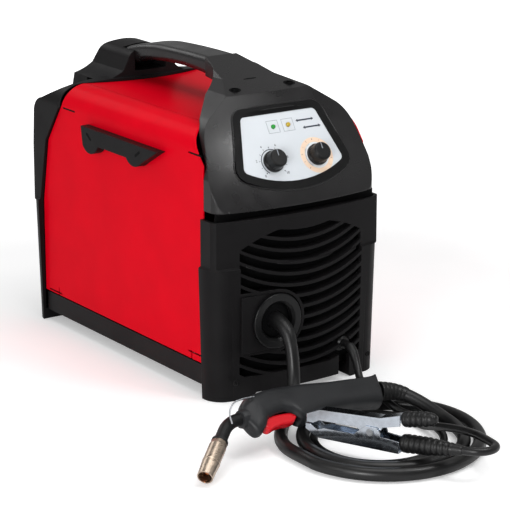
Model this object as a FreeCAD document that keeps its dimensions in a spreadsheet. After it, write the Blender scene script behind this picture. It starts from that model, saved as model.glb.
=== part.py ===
"""Portable wire-feed welding machine with its torch, earth clamp and both cables.

Millimetres, +Z up, the front (control panel) towards -Y, the reel compartment on the -X side.
The origin is on the floor, under the middle of the machine's own housing.
"""
import FreeCAD
import Part
import math
import os
import Sketcher

Vector = FreeCAD.Vector
DOC = FreeCAD.newDocument("welding_machine")
SHEET = DOC.addObject("Spreadsheet::Sheet", "Sizes")


class Size:
    """A length or a number together with the sheet expression that gives it."""

    def __init__(self, value, text=None):
        self.value = float(value)
        self.text = text if text is not None else "({:.6g})".format(float(value))

    def combine(self, other, sign, value):
        return Size(value, "({} {} {})".format(self.text, sign, other.text))

    def __add__(self, other):
        other = as_size(other)
        return self.combine(other, "+", self.value + other.value)

    def __sub__(self, other):
        other = as_size(other)
        return self.combine(other, "-", self.value - other.value)

    def __mul__(self, other):
        other = as_size(other)
        return self.combine(other, "*", self.value * other.value)

    def __truediv__(self, other):
        other = as_size(other)
        return self.combine(other, "/", self.value / other.value)

    def __radd__(self, other):
        return as_size(other) + self

    def __rsub__(self, other):
        return as_size(other) - self

    def __rmul__(self, other):
        return as_size(other) * self

    def __neg__(self):
        return Size(-self.value, "(-{})".format(self.text))


def as_size(number):
    """Give a plain number the same form as a named size."""
    return number if isinstance(number, Size) else Size(number)


def slope_angle(rise, run):
    """Angle in degrees of a slope, kept as an expression."""
    rise, run = as_size(rise), as_size(run)
    text = "(atan2({}; {}) / 1deg)".format(rise.text, run.text)
    return Size(math.degrees(math.atan2(rise.value, run.value)), text)


def cosine(angle):
    return Size(math.cos(math.radians(angle.value)), "cos({} * 1deg)".format(angle.text))


def sine(angle):
    return Size(math.sin(math.radians(angle.value)), "sin({} * 1deg)".format(angle.text))


def arc_radius(half_chord, rise):
    """Radius of the arc that stands `rise` high over a chord of twice `half_chord`."""
    return (half_chord * half_chord + rise * rise) / (rise * 2)


class Sizes:
    """The driving dimensions: each one is a cell of the sheet with its own name."""

    def __init__(self):
        self.row = 0

    def add(self, **values):
        for alias, value in values.items():
            self.row += 1
            SHEET.set("A{}".format(self.row), alias.replace("_", " "))
            SHEET.set("B{}".format(self.row), "{:.6g}".format(value))
            SHEET.setAlias("B{}".format(self.row), alias)
            setattr(self, alias, Size(value, "Sizes." + alias))


S = Sizes()
# The whole housing
S.add(overall_width=240, overall_length=446, overall_height=368, foot_width=232, upper_width=234,
      foot_setback=4, front_setback=2.5, step_height=157, ground_gap=7, corner_radius=24, bulge_centre=250,
      moulding_wall=3, seam=0.3, door_gap=1)
# Sheet metal
S.add(sheet=1.5, panel_width=224, panel_bottom=40, deck_height=313, shoulder_radius=27.5, tray_floor=14,
      tray_side=38, front_edge=180, rear_edge=186)
# Hood, handle and rear cowl
S.add(hood_bottom=222, hood_width=224, hood_wall=3, crease_height=340, crease_setback=74, neck_end=49,
      handle_width=44, handle_thick=22, handle_top=366.5)
# Control panel
S.add(panel_top_width=104.6, panel_low_width=140.8, panel_drop=66, panel_depth=85, panel_lean=32,
      panel_top_y=-161.7, panel_top_z=317.7, panel_sheet=2, recess_depth=14, recess_bevel=42,
      knob_radius=12, knob_height=15, knob_drop=58, knob_left_x=-26.5, knob_right_x=34.6,
      shaft_radius=3, lamp_radius=2.5)
# Grille and cable outlets
S.add(grille_half=85, grille_low=27, grille_shoulder=178, grille_top=201, rib_pitch=13.5, rib_thick=4,
      rib_sag=22, grille_depth=10, outlet_x=-38.5, outlet_z=90, outlet_radius=33.5, outlet_bore=21,
      outlet_sheet=3, collar_height=5, notch_x=61, notch_width=17, notch_height=52)
# Door and its hinge
S.add(hinge_x=-106, hinge_z=45, hinge_reach=150, pin_radius=2.5, ear_thick=2, slant_reach=33, slant_drop=40)
# Inside: partition, reel and wire feeder
S.add(partition_x=-20, partition_sheet=1.5, reel_x=-64, reel_y=75, reel_z=165, reel_radius=100,
      reel_width=52, hub_radius=25, feed_y=-95, feed_roll=15, press_roll=12, wire_radius=0.5)
# Fan and rear fittings
S.add(fan_x=50, fan_z=137, fan_size=92, fan_depth=25, fan_front=176)
# Cables
S.add(torch_cable=7.5, earth_cable=4.5)
# Running and mounting clearances
S.add(running=0.05, clearance=0.3)

HALF_W = S.overall_width / 2
HALF_L = S.overall_length / 2
PANEL = S.panel_width / 2
FLOOR = S.tray_floor - S.clearance
# Door latch, and the plane of the control board behind the panel
LATCH_Z, LATCH_ARM, LATCH_TRAVEL = Size(262), Size(50), Size(8)
BOARD_OUT = Size(-14)
# Flat strip of the door beyond its round shoulder, up to the joint with the deck
SEAM_FLAT = Size(1.5)
# Torch and clamp: where they lie, and the directions along, across and out of the torch's side
TORCH_AT = Vector(-167.65, -340.7, 56.1)
TORCH_ALONG, TORCH_SIDE = Vector(0.9965, 0.055, -0.063), Vector(0.083, -0.614, 0.785)
CLAMP_AT, CLAMP_TURN = Vector(-109.1, -383, 18.4), -65.2
# Rear fittings below the fan
GLAND_X, GLAND_Z, GLAND_R = Size(-64), Size(62), Size(9)
INLET_X, INLET_R = Size(-90), Size(5)
SWITCH_X, SWITCH_Z = Size(50), Size(62)
# Wire feeder: heights of the two rolls, the pivot of the arm, the depth of the drive shaft, the reel's hub
FEED_Z = S.outlet_z - S.feed_roll - S.clearance
PRESS_Z = S.outlet_z + S.press_roll + S.clearance
ARM_Y, ARM_Z = S.feed_y - 37, S.outlet_z + 20
ROLL_SHAFT = Size(31)
SPOOL_LENGTH = S.partition_x - S.reel_x + S.reel_width / 2 + 1
# Depths of the walls that the outlets and the rear fittings are fixed to
OUTLET_SEAT = -HALF_L + S.outlet_sheet + S.collar_height
OUTLET_BACK = -HALF_L + S.grille_depth + 5 + S.clearance
EARTH_Z = S.notch_height - S.notch_width / 2
GLAND_WALL, SWITCH_WALL, INLET_WALL = Size(217.8), Size(219.8), Size(213.6)
DOC.recompute()


def bind(item, prop, size):
    """Set a property from a size so that it follows the sheet."""
    size = as_size(size)
    item.setExpression(prop, size.text)


def new_body(label):
    body = DOC.addObject("PartDesign::Body", label)
    body.Label = label
    return body


def place(item, x=0, y=0, z=0, axis=None, angle=0):
    """Place a body or a primitive; the three coordinates follow the sheet."""
    turn = FreeCAD.Rotation(Vector(*axis), as_size(angle).value) if axis else FreeCAD.Rotation()
    corner = Vector(as_size(x).value, as_size(y).value, as_size(z).value)
    item.Placement = FreeCAD.Placement(corner, turn)
    for prop, size in (("x", x), ("y", y), ("z", z)):
        bind(item, ".Placement.Base." + prop, size)
    if axis:
        bind(item, ".Placement.Rotation.Angle", angle)
    return item


class Circle:
    """A round loop of a sketch."""

    def __init__(self, x, y, radius):
        self.x, self.y, self.radius = as_size(x), as_size(y), as_size(radius)


def box_loop(x0, x1, y0, y1):
    return [(x0, y0), (x1, y0), (x1, y1), (x0, y1)]


def mirrored(points):
    """Close a half outline with its mirror image across the vertical axis.

    A point is (x, y) or (x, y, radius, side); the arc belongs to the run that arrives at it.
    """
    back = []
    for index in range(len(points) - 1, -1, -1):
        x, y = as_size(points[index][0]), points[index][1]
        if x.value == 0:
            continue
        arc = ()
        if index + 1 < len(points) and len(points[index + 1]) > 2:
            arc = (points[index + 1][2], points[index + 1][3])
        back.append((-x, y) + arc)
    return list(points) + back


def add_loop(sketch, loop):
    """Draw one closed loop whose corners and radii are bound to the sheet."""
    if isinstance(loop, Circle):
        centre = Vector(loop.x.value, loop.y.value, 0)
        edge = sketch.addGeometry(Part.Circle(centre, Vector(0, 0, 1), loop.radius.value), False)
        for kind, size in (("DistanceX", loop.x), ("DistanceY", loop.y)):
            at = sketch.addConstraint(Sketcher.Constraint(kind, -1, 1, edge, 3, size.value))
            sketch.setExpression("Constraints[{}]".format(at), size.text)
        at = sketch.addConstraint(Sketcher.Constraint("Radius", edge, loop.radius.value))
        sketch.setExpression("Constraints[{}]".format(at), loop.radius.text)
        return
    corners = [(as_size(point[0]), as_size(point[1])) for point in loop]
    spots = [Vector(x.value, y.value, 0) for x, y in corners]
    ends = []
    for index, point in enumerate(loop):
        start, stop = spots[index - 1], spots[index]
        if len(point) == 2:
            edge = sketch.addGeometry(Part.LineSegment(start, stop), False)
            ends.append((edge, 1, 2))
            continue
        radius, side = as_size(point[2]), point[3]
        chord = stop - start
        middle = (start + stop) * 0.5
        drop = radius.value - math.sqrt(max(radius.value ** 2 - chord.Length ** 2 / 4, 0))
        outward = Vector(chord.y, -chord.x, 0).normalize() * (drop * side)
        edge = sketch.addGeometry(Part.Arc(start, middle + outward, stop), False)
        first, last = (1, 2) if side > 0 else (2, 1)
        ends.append((edge, first, last))
        if abs(2 * radius.value - chord.Length) < 0.001:
            # A half round is held by its centre, level with or straight above its two ends.
            kind, size = ("DistanceX", as_size(point[0])) if chord.x == 0 else ("DistanceY", as_size(point[1]))
            at = sketch.addConstraint(Sketcher.Constraint(kind, -1, 1, edge, 3, size.value))
            sketch.setExpression("Constraints[{}]".format(at), size.text)
        else:
            at = sketch.addConstraint(Sketcher.Constraint("Radius", edge, radius.value))
            sketch.setExpression("Constraints[{}]".format(at), radius.text)
    for index, (x, y) in enumerate(corners):
        edge, _, last = ends[index]
        following, first, _ = ends[(index + 1) % len(ends)]
        sketch.addConstraint(Sketcher.Constraint("Coincident", edge, last, following, first))
        for kind, size in (("DistanceX", x), ("DistanceY", y)):
            at = sketch.addConstraint(Sketcher.Constraint(kind, -1, 1, edge, last, size.value))
            sketch.setExpression("Constraints[{}]".format(at), size.text)


def add_sketch(body, plane, at, loops):
    """Add a sketch on the XY, XZ or YZ plane of the body, `at` millimetres along X, Y or Z."""
    sketch = body.newObject("Sketcher::SketchObject", "outline")
    support = [item for item in body.Origin.OriginFeatures if item.Role == plane + "_Plane"][0]
    sketch.AttachmentSupport = [(support, "")]
    sketch.MapMode = "FlatFace"
    offset = -as_size(at) if plane == "XZ" else as_size(at)
    bind(sketch, ".AttachmentOffset.Base.z", offset)
    for loop in loops:
        add_loop(sketch, loop)
    return sketch


def slab(body, plane, loops, start, length, taper=None, back=False):
    """Pad loops from `start` to `start` + `length` along the plane's world axis.

    With `back` the pad runs the other way from `start`, so that a taper narrows on that side.
    """
    at = as_size(start) + length if plane == "XZ" else start
    sketch = add_sketch(body, plane, at, loops)
    pad = body.newObject("PartDesign::Pad", "pad")
    pad.Profile = sketch
    bind(pad, "Length", length)
    if taper is not None:
        bind(pad, "TaperAngle", taper)
    pad.Reversed = back
    return pad


def cut(body, plane, loops, start, length):
    """Pocket loops from `start` to `start` + `length` along the plane's world axis."""
    at = start if plane == "XZ" else as_size(start) + length
    sketch = add_sketch(body, plane, at, loops)
    pocket = body.newObject("PartDesign::Pocket", "pocket")
    pocket.Profile = sketch
    bind(pocket, "Length", length)
    return pocket


def turned(body, loops, groove=False):
    """Revolve loops drawn as (radius, height) about the body's own Z axis, or groove them out."""
    sketch = add_sketch(body, "XZ", 0, loops)
    kind = "Groove" if groove else "Revolution"
    feature = body.newObject("PartDesign::" + kind, kind.lower())
    feature.Profile = sketch
    feature.ReferenceAxis = (sketch, ["V_Axis"])
    feature.Angle = 360
    return feature


def swung(body, loops, centre, angle=60):
    """Revolve a side outline (y, height) both ways about the upright line at y = `centre`."""
    sketch = add_sketch(body, "YZ", 0, loops)
    centre = as_size(centre)
    low, high = Vector(centre.value, 0, 0), Vector(centre.value, 100, 0)
    edge = sketch.addGeometry(Part.LineSegment(low, high), True)
    for kind, place_on, size in (("DistanceX", 1, centre), ("DistanceX", 2, centre),
                                 ("DistanceY", 1, as_size(0)), ("DistanceY", 2, as_size(100))):
        at = sketch.addConstraint(Sketcher.Constraint(kind, -1, 1, edge, place_on, size.value))
        sketch.setExpression("Constraints[{}]".format(at), size.text)
    feature = body.newObject("PartDesign::Revolution", "revolution")
    feature.Profile = sketch
    feature.ReferenceAxis = (sketch, ["Axis0"])
    feature.Midplane = True
    feature.Angle = angle
    return feature


def round_edges(body, radius, wanted):
    """Fillet the edges of the body so far for which `wanted(edge)` is true."""
    DOC.recompute()
    tip = body.Tip
    names = ["Edge{}".format(index + 1) for index, edge in enumerate(tip.Shape.Edges) if wanted(edge)]
    fillet = body.newObject("PartDesign::Fillet", "fillet")
    fillet.Base = (tip, names)
    bind(fillet, "Radius", radius)
    return fillet


def boolean(kind, label, base, tool):
    item = DOC.addObject("Part::" + kind, label)
    item.Base, item.Tool = base, tool
    item.Label = label
    return item


def common(label, *items):
    item = DOC.addObject("Part::MultiCommon", label)
    item.Shapes = list(items)
    item.Label = label
    return item


def fuse(label, *items):
    item = DOC.addObject("Part::MultiFuse", label)
    item.Shapes = list(items)
    item.Label = label
    return item


def cylinder(label, radius, height, x=0, y=0, z=0, axis=None, angle=0):
    item = DOC.addObject("Part::Cylinder", label)
    item.Label = label
    bind(item, "Radius", radius)
    bind(item, "Height", height)
    return place(item, x, y, z, axis, angle)


NODES = {}


def keep(node, item):
    """Register a finished sub-part under its node name."""
    item.Label = node
    NODES[node] = item
    return item


# Housing: two end mouldings, the hood, the handle and the covers

def end_outline(inset=0):
    """Front view of an end moulding: it widens to the step and narrows again above it."""
    foot, wide, upper = S.foot_width / 2 - inset, HALF_W - inset, S.upper_width / 2 - inset
    return [(foot, as_size(0)), (wide, S.step_height), (upper, S.step_height + 1.5)]


def corner_plan(inset=0):
    """Top view with the two front corners rounded, deep enough to be cut to length later."""
    half, radius = S.foot_width / 2 - inset, S.corner_radius - inset
    front = -HALF_L + S.foot_setback + 9.5 + inset
    return [(-half, as_size(0)), (-half, front + radius), (-half + radius, front, radius, 1),
            (-half + radius, front - 40), (half - radius, front - 40), (half - radius, front),
            (half, front + radius, radius, 1), (half, as_size(0))]


def front_side(inset=0, top=None):
    """Side view of the front moulding's outer face, with the small step on the pillars."""
    foot = -HALF_L + S.foot_setback + inset
    wide = -HALF_L + inset
    upper = -HALF_L + S.front_setback + inset
    return [(foot, as_size(0)), (as_size(-60), as_size(0)), (as_size(-60), top), (upper, top),
            (upper, S.step_height + 1.5), (wide, S.step_height)]


def offset_corner(point, reach):
    """Move an outline's corner outwards by `reach`, away from the middle of the housing."""
    x, y = as_size(point[0]), as_size(point[1])
    moved_x = x + reach if x.value > 0 else x - reach
    moved_y = y if abs(y.value) < 150 else (y + reach if y.value > 0 else y - reach)
    return (moved_x, moved_y) + tuple(point[2:])


def drafted_corners(label, plan):
    """Corner rounding that leans outwards up to the step, like the feet do, then goes straight up."""
    top = new_body(label + "_plan")
    slab(top, "XY", [plan], 0, S.step_height, slope_angle(HALF_W - S.foot_width / 2, S.step_height))
    wide = new_body(label + "_plan_top")
    reach = HALF_W - S.foot_width / 2
    wider = [offset_corner(point, reach) for point in plan]
    slab(wide, "XY", [wider], S.step_height - 0.5, S.overall_height)
    return fuse(label + "_corners", top, wide)


def moulded_block(label, side, outline, plan):
    """Solid common to a swung side view, a front view and a top view."""
    swing = new_body(label + "_swing")
    swung(swing, [side], S.bulge_centre)
    front = new_body(label + "_front")
    slab(front, "XZ", [mirrored(outline)], -HALF_L - 30, S.overall_length)
    items = [swing, front]
    if plan is not None:
        items.append(drafted_corners(label, plan))
    return common(label, *items)


def louvre_slots(label, rear):
    """The curved gaps between the louvres, cut off by the grille's arched outline."""
    half, low = S.grille_half, S.grille_low
    sweep = arc_radius(half, S.rib_sag)
    base = low - S.rib_sag + S.rib_thick
    gap = S.rib_pitch - S.rib_thick
    slots = new_body(label + "_slots")
    slot = slab(slots, "XZ", [[(-half, base + S.rib_sag), (half, base + S.rib_sag, sweep, 1),
                               (half, base + S.rib_sag + gap), (-half, base + S.rib_sag + gap, sweep, -1)]],
                -HALF_L - 10, S.grille_depth + 30)
    pattern = slots.newObject("PartDesign::LinearPattern", "slot_rows")
    pattern.Originals = [slot]
    axis = [item for item in slots.Origin.OriginFeatures if item.Role == "Z_Axis"][0]
    pattern.Direction = (axis, [""])
    bind(pattern, "Length", S.rib_pitch * 13)
    pattern.Occurrences = 14
    slots.Tip = pattern
    region = new_body(label + "_region")
    arch = arc_radius(half, S.grille_top - S.grille_shoulder)
    slab(region, "XZ", [[(-half, low), (half, low), (half, S.grille_shoulder),
                         (-half, S.grille_shoulder, arch, 1)]], -HALF_L - 10, S.grille_depth + 30)
    keep_out = new_body(label + "_outlet")
    slab(keep_out, "XZ", [outlet_outline(S.rib_thick)], -HALF_L - 10, S.grille_depth + 30)
    return boolean("Cut", label, common(label + "_rows", slots, region), keep_out)


def outlet_outline(margin=0):
    """Outline of the torch outlet plate: a half round joined to a square left end."""
    radius = S.outlet_radius + margin
    x, z = S.outlet_x, S.outlet_z
    return [(-S.grille_half, z - radius), (x, z - radius), (x, z + radius, radius, 1),
            (-S.grille_half, z + radius)]


def front_moulding():
    top = S.hood_bottom - 9
    half, wall = HALF_W, S.moulding_wall
    outer = moulded_block("front_outer", front_side(0, top), end_outline() + [(S.upper_width / 2, top)],
                          corner_plan())
    hollow = moulded_block("front_hollow", front_side(wall, top + 20),
                           [(S.grille_half + 12, FLOOR), (PANEL + S.clearance, FLOOR),
                            (PANEL + S.clearance, top + 20)], corner_plan(wall + 1))
    rear_limit = new_body("front_depth")
    depth = S.grille_depth
    slab(rear_limit, "XY", [[(-half, -HALF_L + depth + 5), (half, -HALF_L + depth + 5), (half, as_size(0)),
                             (-half, as_size(0))]], FLOOR, S.overall_height)
    shell = boolean("Cut", "front_shell", outer, common("front_room", rear_limit, hollow))
    trims = new_body("front_trims")
    slab(trims, "XY", [box_loop(-half * 2, half * 2, -S.front_edge - 1, HALF_L)], -10, S.overall_height)
    slab(trims, "XZ", [[(-S.grille_half + 7, as_size(-5)), (S.grille_half - 7, as_size(-5)),
                        (S.grille_half - 22, S.ground_gap), (-S.grille_half + 22, S.ground_gap)]],
         -HALF_L - 20, 80)
    notch = new_body("cable_notch")
    radius = S.notch_width / 2
    x, top_z = S.notch_x, S.notch_height
    slab(notch, "XZ", [[(x - radius, as_size(0)), (x + radius, as_size(0)), (x + radius, top_z - radius),
                        (x - radius, top_z - radius, radius, 1)]], -HALF_L - 20, 50)
    bore = cylinder("outlet_way", S.outlet_bore, 60, S.outlet_x, -HALF_L + 40, S.outlet_z, (1, 0, 0), 90)
    seat = new_body("outlet_seat")
    slab(seat, "XZ", [outlet_outline(S.clearance)], -HALF_L - 20, OUTLET_SEAT + HALF_L + 20)
    tools = fuse("front_cuts", trims, notch, bore, seat)
    bored = boolean("Cut", "front_bored", shell, tools)
    return keep("front_moulding", boolean("Cut", "front_moulding", bored, louvre_slots("louvres", 0)))


def hood_side(inset=0):
    """Side view of the hood: bowed face, crease, and a top that runs back to the handle."""
    front = -HALF_L + S.front_setback + 1.5 + inset
    crease_y = -HALF_L + S.crease_setback + inset * 0.5
    bottom = S.hood_bottom - inset
    return [(front, bottom, 330, 1), (-S.neck_end, bottom), (-S.neck_end, S.handle_top - inset),
            (crease_y, S.crease_height - inset)]


def hood_underside():
    """Side view of what is cut away behind and below the hood, down to the deck and the door."""
    edge, deck = -S.front_edge - S.door_gap, S.deck_height + S.clearance
    return [(edge, as_size(100)), (as_size(60), as_size(100)), (as_size(60), deck + 29.7), (as_size(-75), deck + 30.7),
            (as_size(-109), deck + 22.7), (edge + S.slant_reach, deck), (edge, deck - S.slant_drop)]


def hood_front(inset=0):
    """Front view of the hood: sides that close in, round shoulders and the neck."""
    half = S.hood_width / 2 - inset
    neck = S.handle_width / 2 - inset
    bottom = S.hood_bottom - 2 * as_size(inset)
    return [(half, bottom), (half, S.hood_bottom + 36), (half - 8, S.hood_bottom + 73),
            (half - 27, S.crease_height - 18 - inset, 40, 1), (half - 56, S.crease_height - inset + 1),
            (neck + 14, S.crease_height + 11 - inset), (neck, S.handle_top - inset + 4)]


def hood_plan(inset=0):
    """Top view of the hood: rounded front corners, then a neck that narrows to the handle."""
    half = S.hood_width / 2 - inset
    wide = half + 0.4
    neck = S.handle_width / 2 - inset
    front = -HALF_L + 15 + inset
    end = -S.neck_end
    left = [(-neck, end), (-neck - 6, as_size(-73)), (-half + 50, as_size(-109), 90, -1),
            (-half + 12, as_size(-151)), (-wide, as_size(-176), 60, 1), (-wide, front + 16),
            (-half + 16, front, 16.3, 1), (-half + 16, front - 40)]
    right = [(half - 16, front - 40), (half - 16, front), (wide, front + 16, 16.3, 1), (wide, as_size(-176)),
             (half - 12, as_size(-151), 60, 1), (half - 50, as_size(-109)), (neck + 6, as_size(-73), 90, -1)]
    return [(neck, end), (neck, end + 20), (-neck, end + 20)] + left + right


def panel_outline(margin=0):
    """Control panel outline on its leaning plane, measured down from its top edge."""
    top, low = S.panel_top_width / 2 + margin, S.panel_low_width / 2 + margin
    drop, depth = S.panel_drop, S.panel_depth
    bowl = arc_radius(low, depth - drop)
    return [(-top, as_size(margin)), (-low, -drop), (low, -drop, bowl, 1), (top, as_size(margin))]


def on_panel(item, x=0, drop=0, out=0):
    """Place a body on the leaning panel plane with its own Z square to the panel."""
    lean = Size(90) - S.panel_lean
    y = S.panel_top_y - drop * sine(S.panel_lean) - out * cosine(S.panel_lean)
    z = S.panel_top_z - drop * cosine(S.panel_lean) + out * sine(S.panel_lean)
    return place(item, x, y, z, (1, 0, 0), lean)


def moulded_hood(label, inset=0):
    swing = new_body(label + "_swing")
    swung(swing, [hood_side(inset)], S.bulge_centre)
    front = new_body(label + "_front")
    slab(front, "XZ", [mirrored(hood_front(inset))], -HALF_L - 30, S.overall_length)
    top = new_body(label + "_plan")
    slab(top, "XY", [hood_plan(inset)], 100, S.overall_height)
    return common(label, swing, front, top)


def console_hood():
    wall = S.hood_wall
    shell = boolean("Cut", "hood_shell", moulded_hood("hood_outer"), moulded_hood("hood_room", wall))
    dish = new_body("panel_dish")
    slab(dish, "XY", [panel_outline(wall + 1)], -wall, S.recess_depth + 12, S.recess_bevel)
    on_panel(dish)
    lined = fuse("hood_lined", shell, common("panel_rim", dish, moulded_hood("hood_limit", 1)))
    recess = new_body("panel_recess")
    slab(recess, "XY", [panel_outline(S.clearance)], 0, S.recess_depth + 14, S.recess_bevel)
    on_panel(recess)
    ways = new_body("panel_ways")
    slab(ways, "XY", [Circle(S.knob_left_x, -S.knob_drop, S.shaft_radius + 1),
                      Circle(S.knob_right_x, -S.knob_drop, S.shaft_radius + 1),
                      Circle(-11.5, -17, S.lamp_radius + 0.5), Circle(9.3, -17, S.lamp_radius + 0.5)],
         -wall - 3, wall + 4)
    on_panel(ways)
    under = new_body("hood_underside")
    slab(under, "YZ", [hood_underside()], -HALF_W, S.overall_width)
    screws = new_body("hood_screw_wells")
    slab(screws, "XY", [Circle(-37.9, -134, 4.5), Circle(37.9, -134, 4.5)], S.crease_height - 4, 30)
    return keep("console_hood", boolean("Cut", "console_hood", lined,
                                        fuse("hood_cuts", recess, ways, screws, under)))


def handle_side():
    """Side view of the handle: a low arch from the hood's neck into the rear cowl."""
    top, thick = S.handle_top, S.handle_thick
    start = -S.neck_end + S.clearance + 0.8
    return [(start, top - thick), (as_size(63), top - thick - 1, 560, -1), (as_size(136), top - 42, 190, -1),
            (as_size(150), top - 42), (as_size(150), top - 22), (as_size(136), top - 17),
            (as_size(63), top - 2.5, 330, 1), (start, top, 1600, 1)]


def carry_handle():
    bar = new_body("carry_handle")
    half = S.handle_width / 2
    slab(bar, "YZ", [handle_side()], -half, S.handle_width)
    tongue = S.hood_wall + 1
    slab(bar, "YZ", [box_loop(-S.neck_end - 22, -S.neck_end + 2, S.handle_top - S.handle_thick + 2,
                              S.handle_top - 10)], -half + tongue, S.handle_width - 2 * tongue)
    round_edges(bar, 7, lambda edge: edge.BoundBox.XLength < 0.01 and edge.BoundBox.YLength > 50
                and abs(abs(edge.BoundBox.XMin) - half.value) < 0.01)
    return keep("carry_handle", bar)


def rear_side(inset=0, bottom=0):
    """Side view of the rear moulding's back: bowed face and a top that falls to the rear."""
    foot = HALF_L - S.foot_setback - inset
    wide = HALF_L - inset
    upper = HALF_L - S.front_setback - inset
    lean = upper - 5
    top = S.deck_height + 4 - inset
    return [(foot, as_size(bottom)), (wide, S.step_height), (upper, S.step_height + 1.5),
            (lean, S.deck_height - 42), (lean - 18, S.deck_height - 24 - inset, 22, 1),
            (as_size(136), top), (as_size(60), top), (as_size(60), as_size(bottom))]


def rear_line(gap=0):
    """Side view of the slanting joint between the covers and the rear moulding, from the deck down."""
    edge, deck = S.rear_edge + gap, S.deck_height
    return [(edge - 60.5, deck), (edge - 50, deck - 26), (edge - 15, deck - 76), (edge, S.step_height)]


def covers_side():
    """Side view of the door and the cover between the two mouldings."""
    front, deck = -S.front_edge, S.deck_height
    rear = rear_line()
    return ([(front, as_size(20)), (S.rear_edge, as_size(20))] + rear[::-1]
            + [(S.rear_edge - 60.5, deck + 10), (front + S.slant_reach, deck + 10),
               (front + S.slant_reach, deck), (front, deck - S.slant_drop)])


def rear_front(inset=0):
    """Front view of the rear moulding with its round shoulders."""
    upper = S.upper_width / 2 - inset
    return end_outline(inset) + [(upper - 2, S.deck_height - 28), (upper - 27, S.deck_height - inset, 30, 1),
                                 (as_size(40), S.deck_height + 6 - inset)]


def rear_plan(inset=0):
    """Top view with the two rear corners rounded and the deck edge bowed forward."""
    half, radius = S.foot_width / 2 - inset, S.corner_radius - inset
    back = HALF_L - S.foot_setback - 9.5 - inset
    bow = arc_radius(half, as_size(36))
    return [(-half, as_size(144)), (half, as_size(144), bow, 1),
            (half, back - radius), (half - radius, back, radius, 1), (half - radius, back + 40),
            (-half + radius, back + 40), (-half + radius, back), (-half, back - radius, radius, 1)]


def rear_corners(inset=0):
    """The same rear corners for the hollow inside, which runs on to the front."""
    half, radius = S.foot_width / 2 - inset, S.corner_radius - inset
    back = HALF_L - S.foot_setback - 9.5 - inset
    return [(-half, as_size(20)), (half, as_size(20)), (half, back - radius), (half - radius, back, radius, 1),
            (half - radius, back + 40), (-half + radius, back + 40), (-half + radius, back),
            (-half, back - radius, radius, 1)]


def cowl(label, inset=0):
    """The hump that carries the handle's rear end, with concave flanks."""
    front = new_body(label + "_front")
    half = S.handle_width / 2 - inset
    top = S.handle_top - 13.5 - inset
    slab(front, "XZ", [mirrored([(half + 42, S.deck_height - 40), (half + 42, S.deck_height + 1 - inset),
                                 (half + 16, S.deck_height + 12 - inset, 60, -1),
                                 (half + 9, top - 13), (half - 2, top - 3, 15, 1), (as_size(0), top, 90, 1)])],
         60, S.overall_length)
    swing = new_body(label + "_swing")
    swung(swing, [[(as_size(197) - inset, S.deck_height - 45), (as_size(197) - inset, S.deck_height - 17),
                   (as_size(184) - inset, top - 14), (as_size(166) - inset, top + 2, 26, 1),
                   (as_size(100), top + 2), (as_size(100), S.deck_height + S.clearance),
                   (as_size(160), S.deck_height + S.clearance), (as_size(160), S.deck_height - 45)]],
          -S.bulge_centre)
    plan = new_body(label + "_plan")
    slab(plan, "XY", [rear_plan()], 150, S.overall_height)
    return common(label, front, swing, plan)


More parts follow.
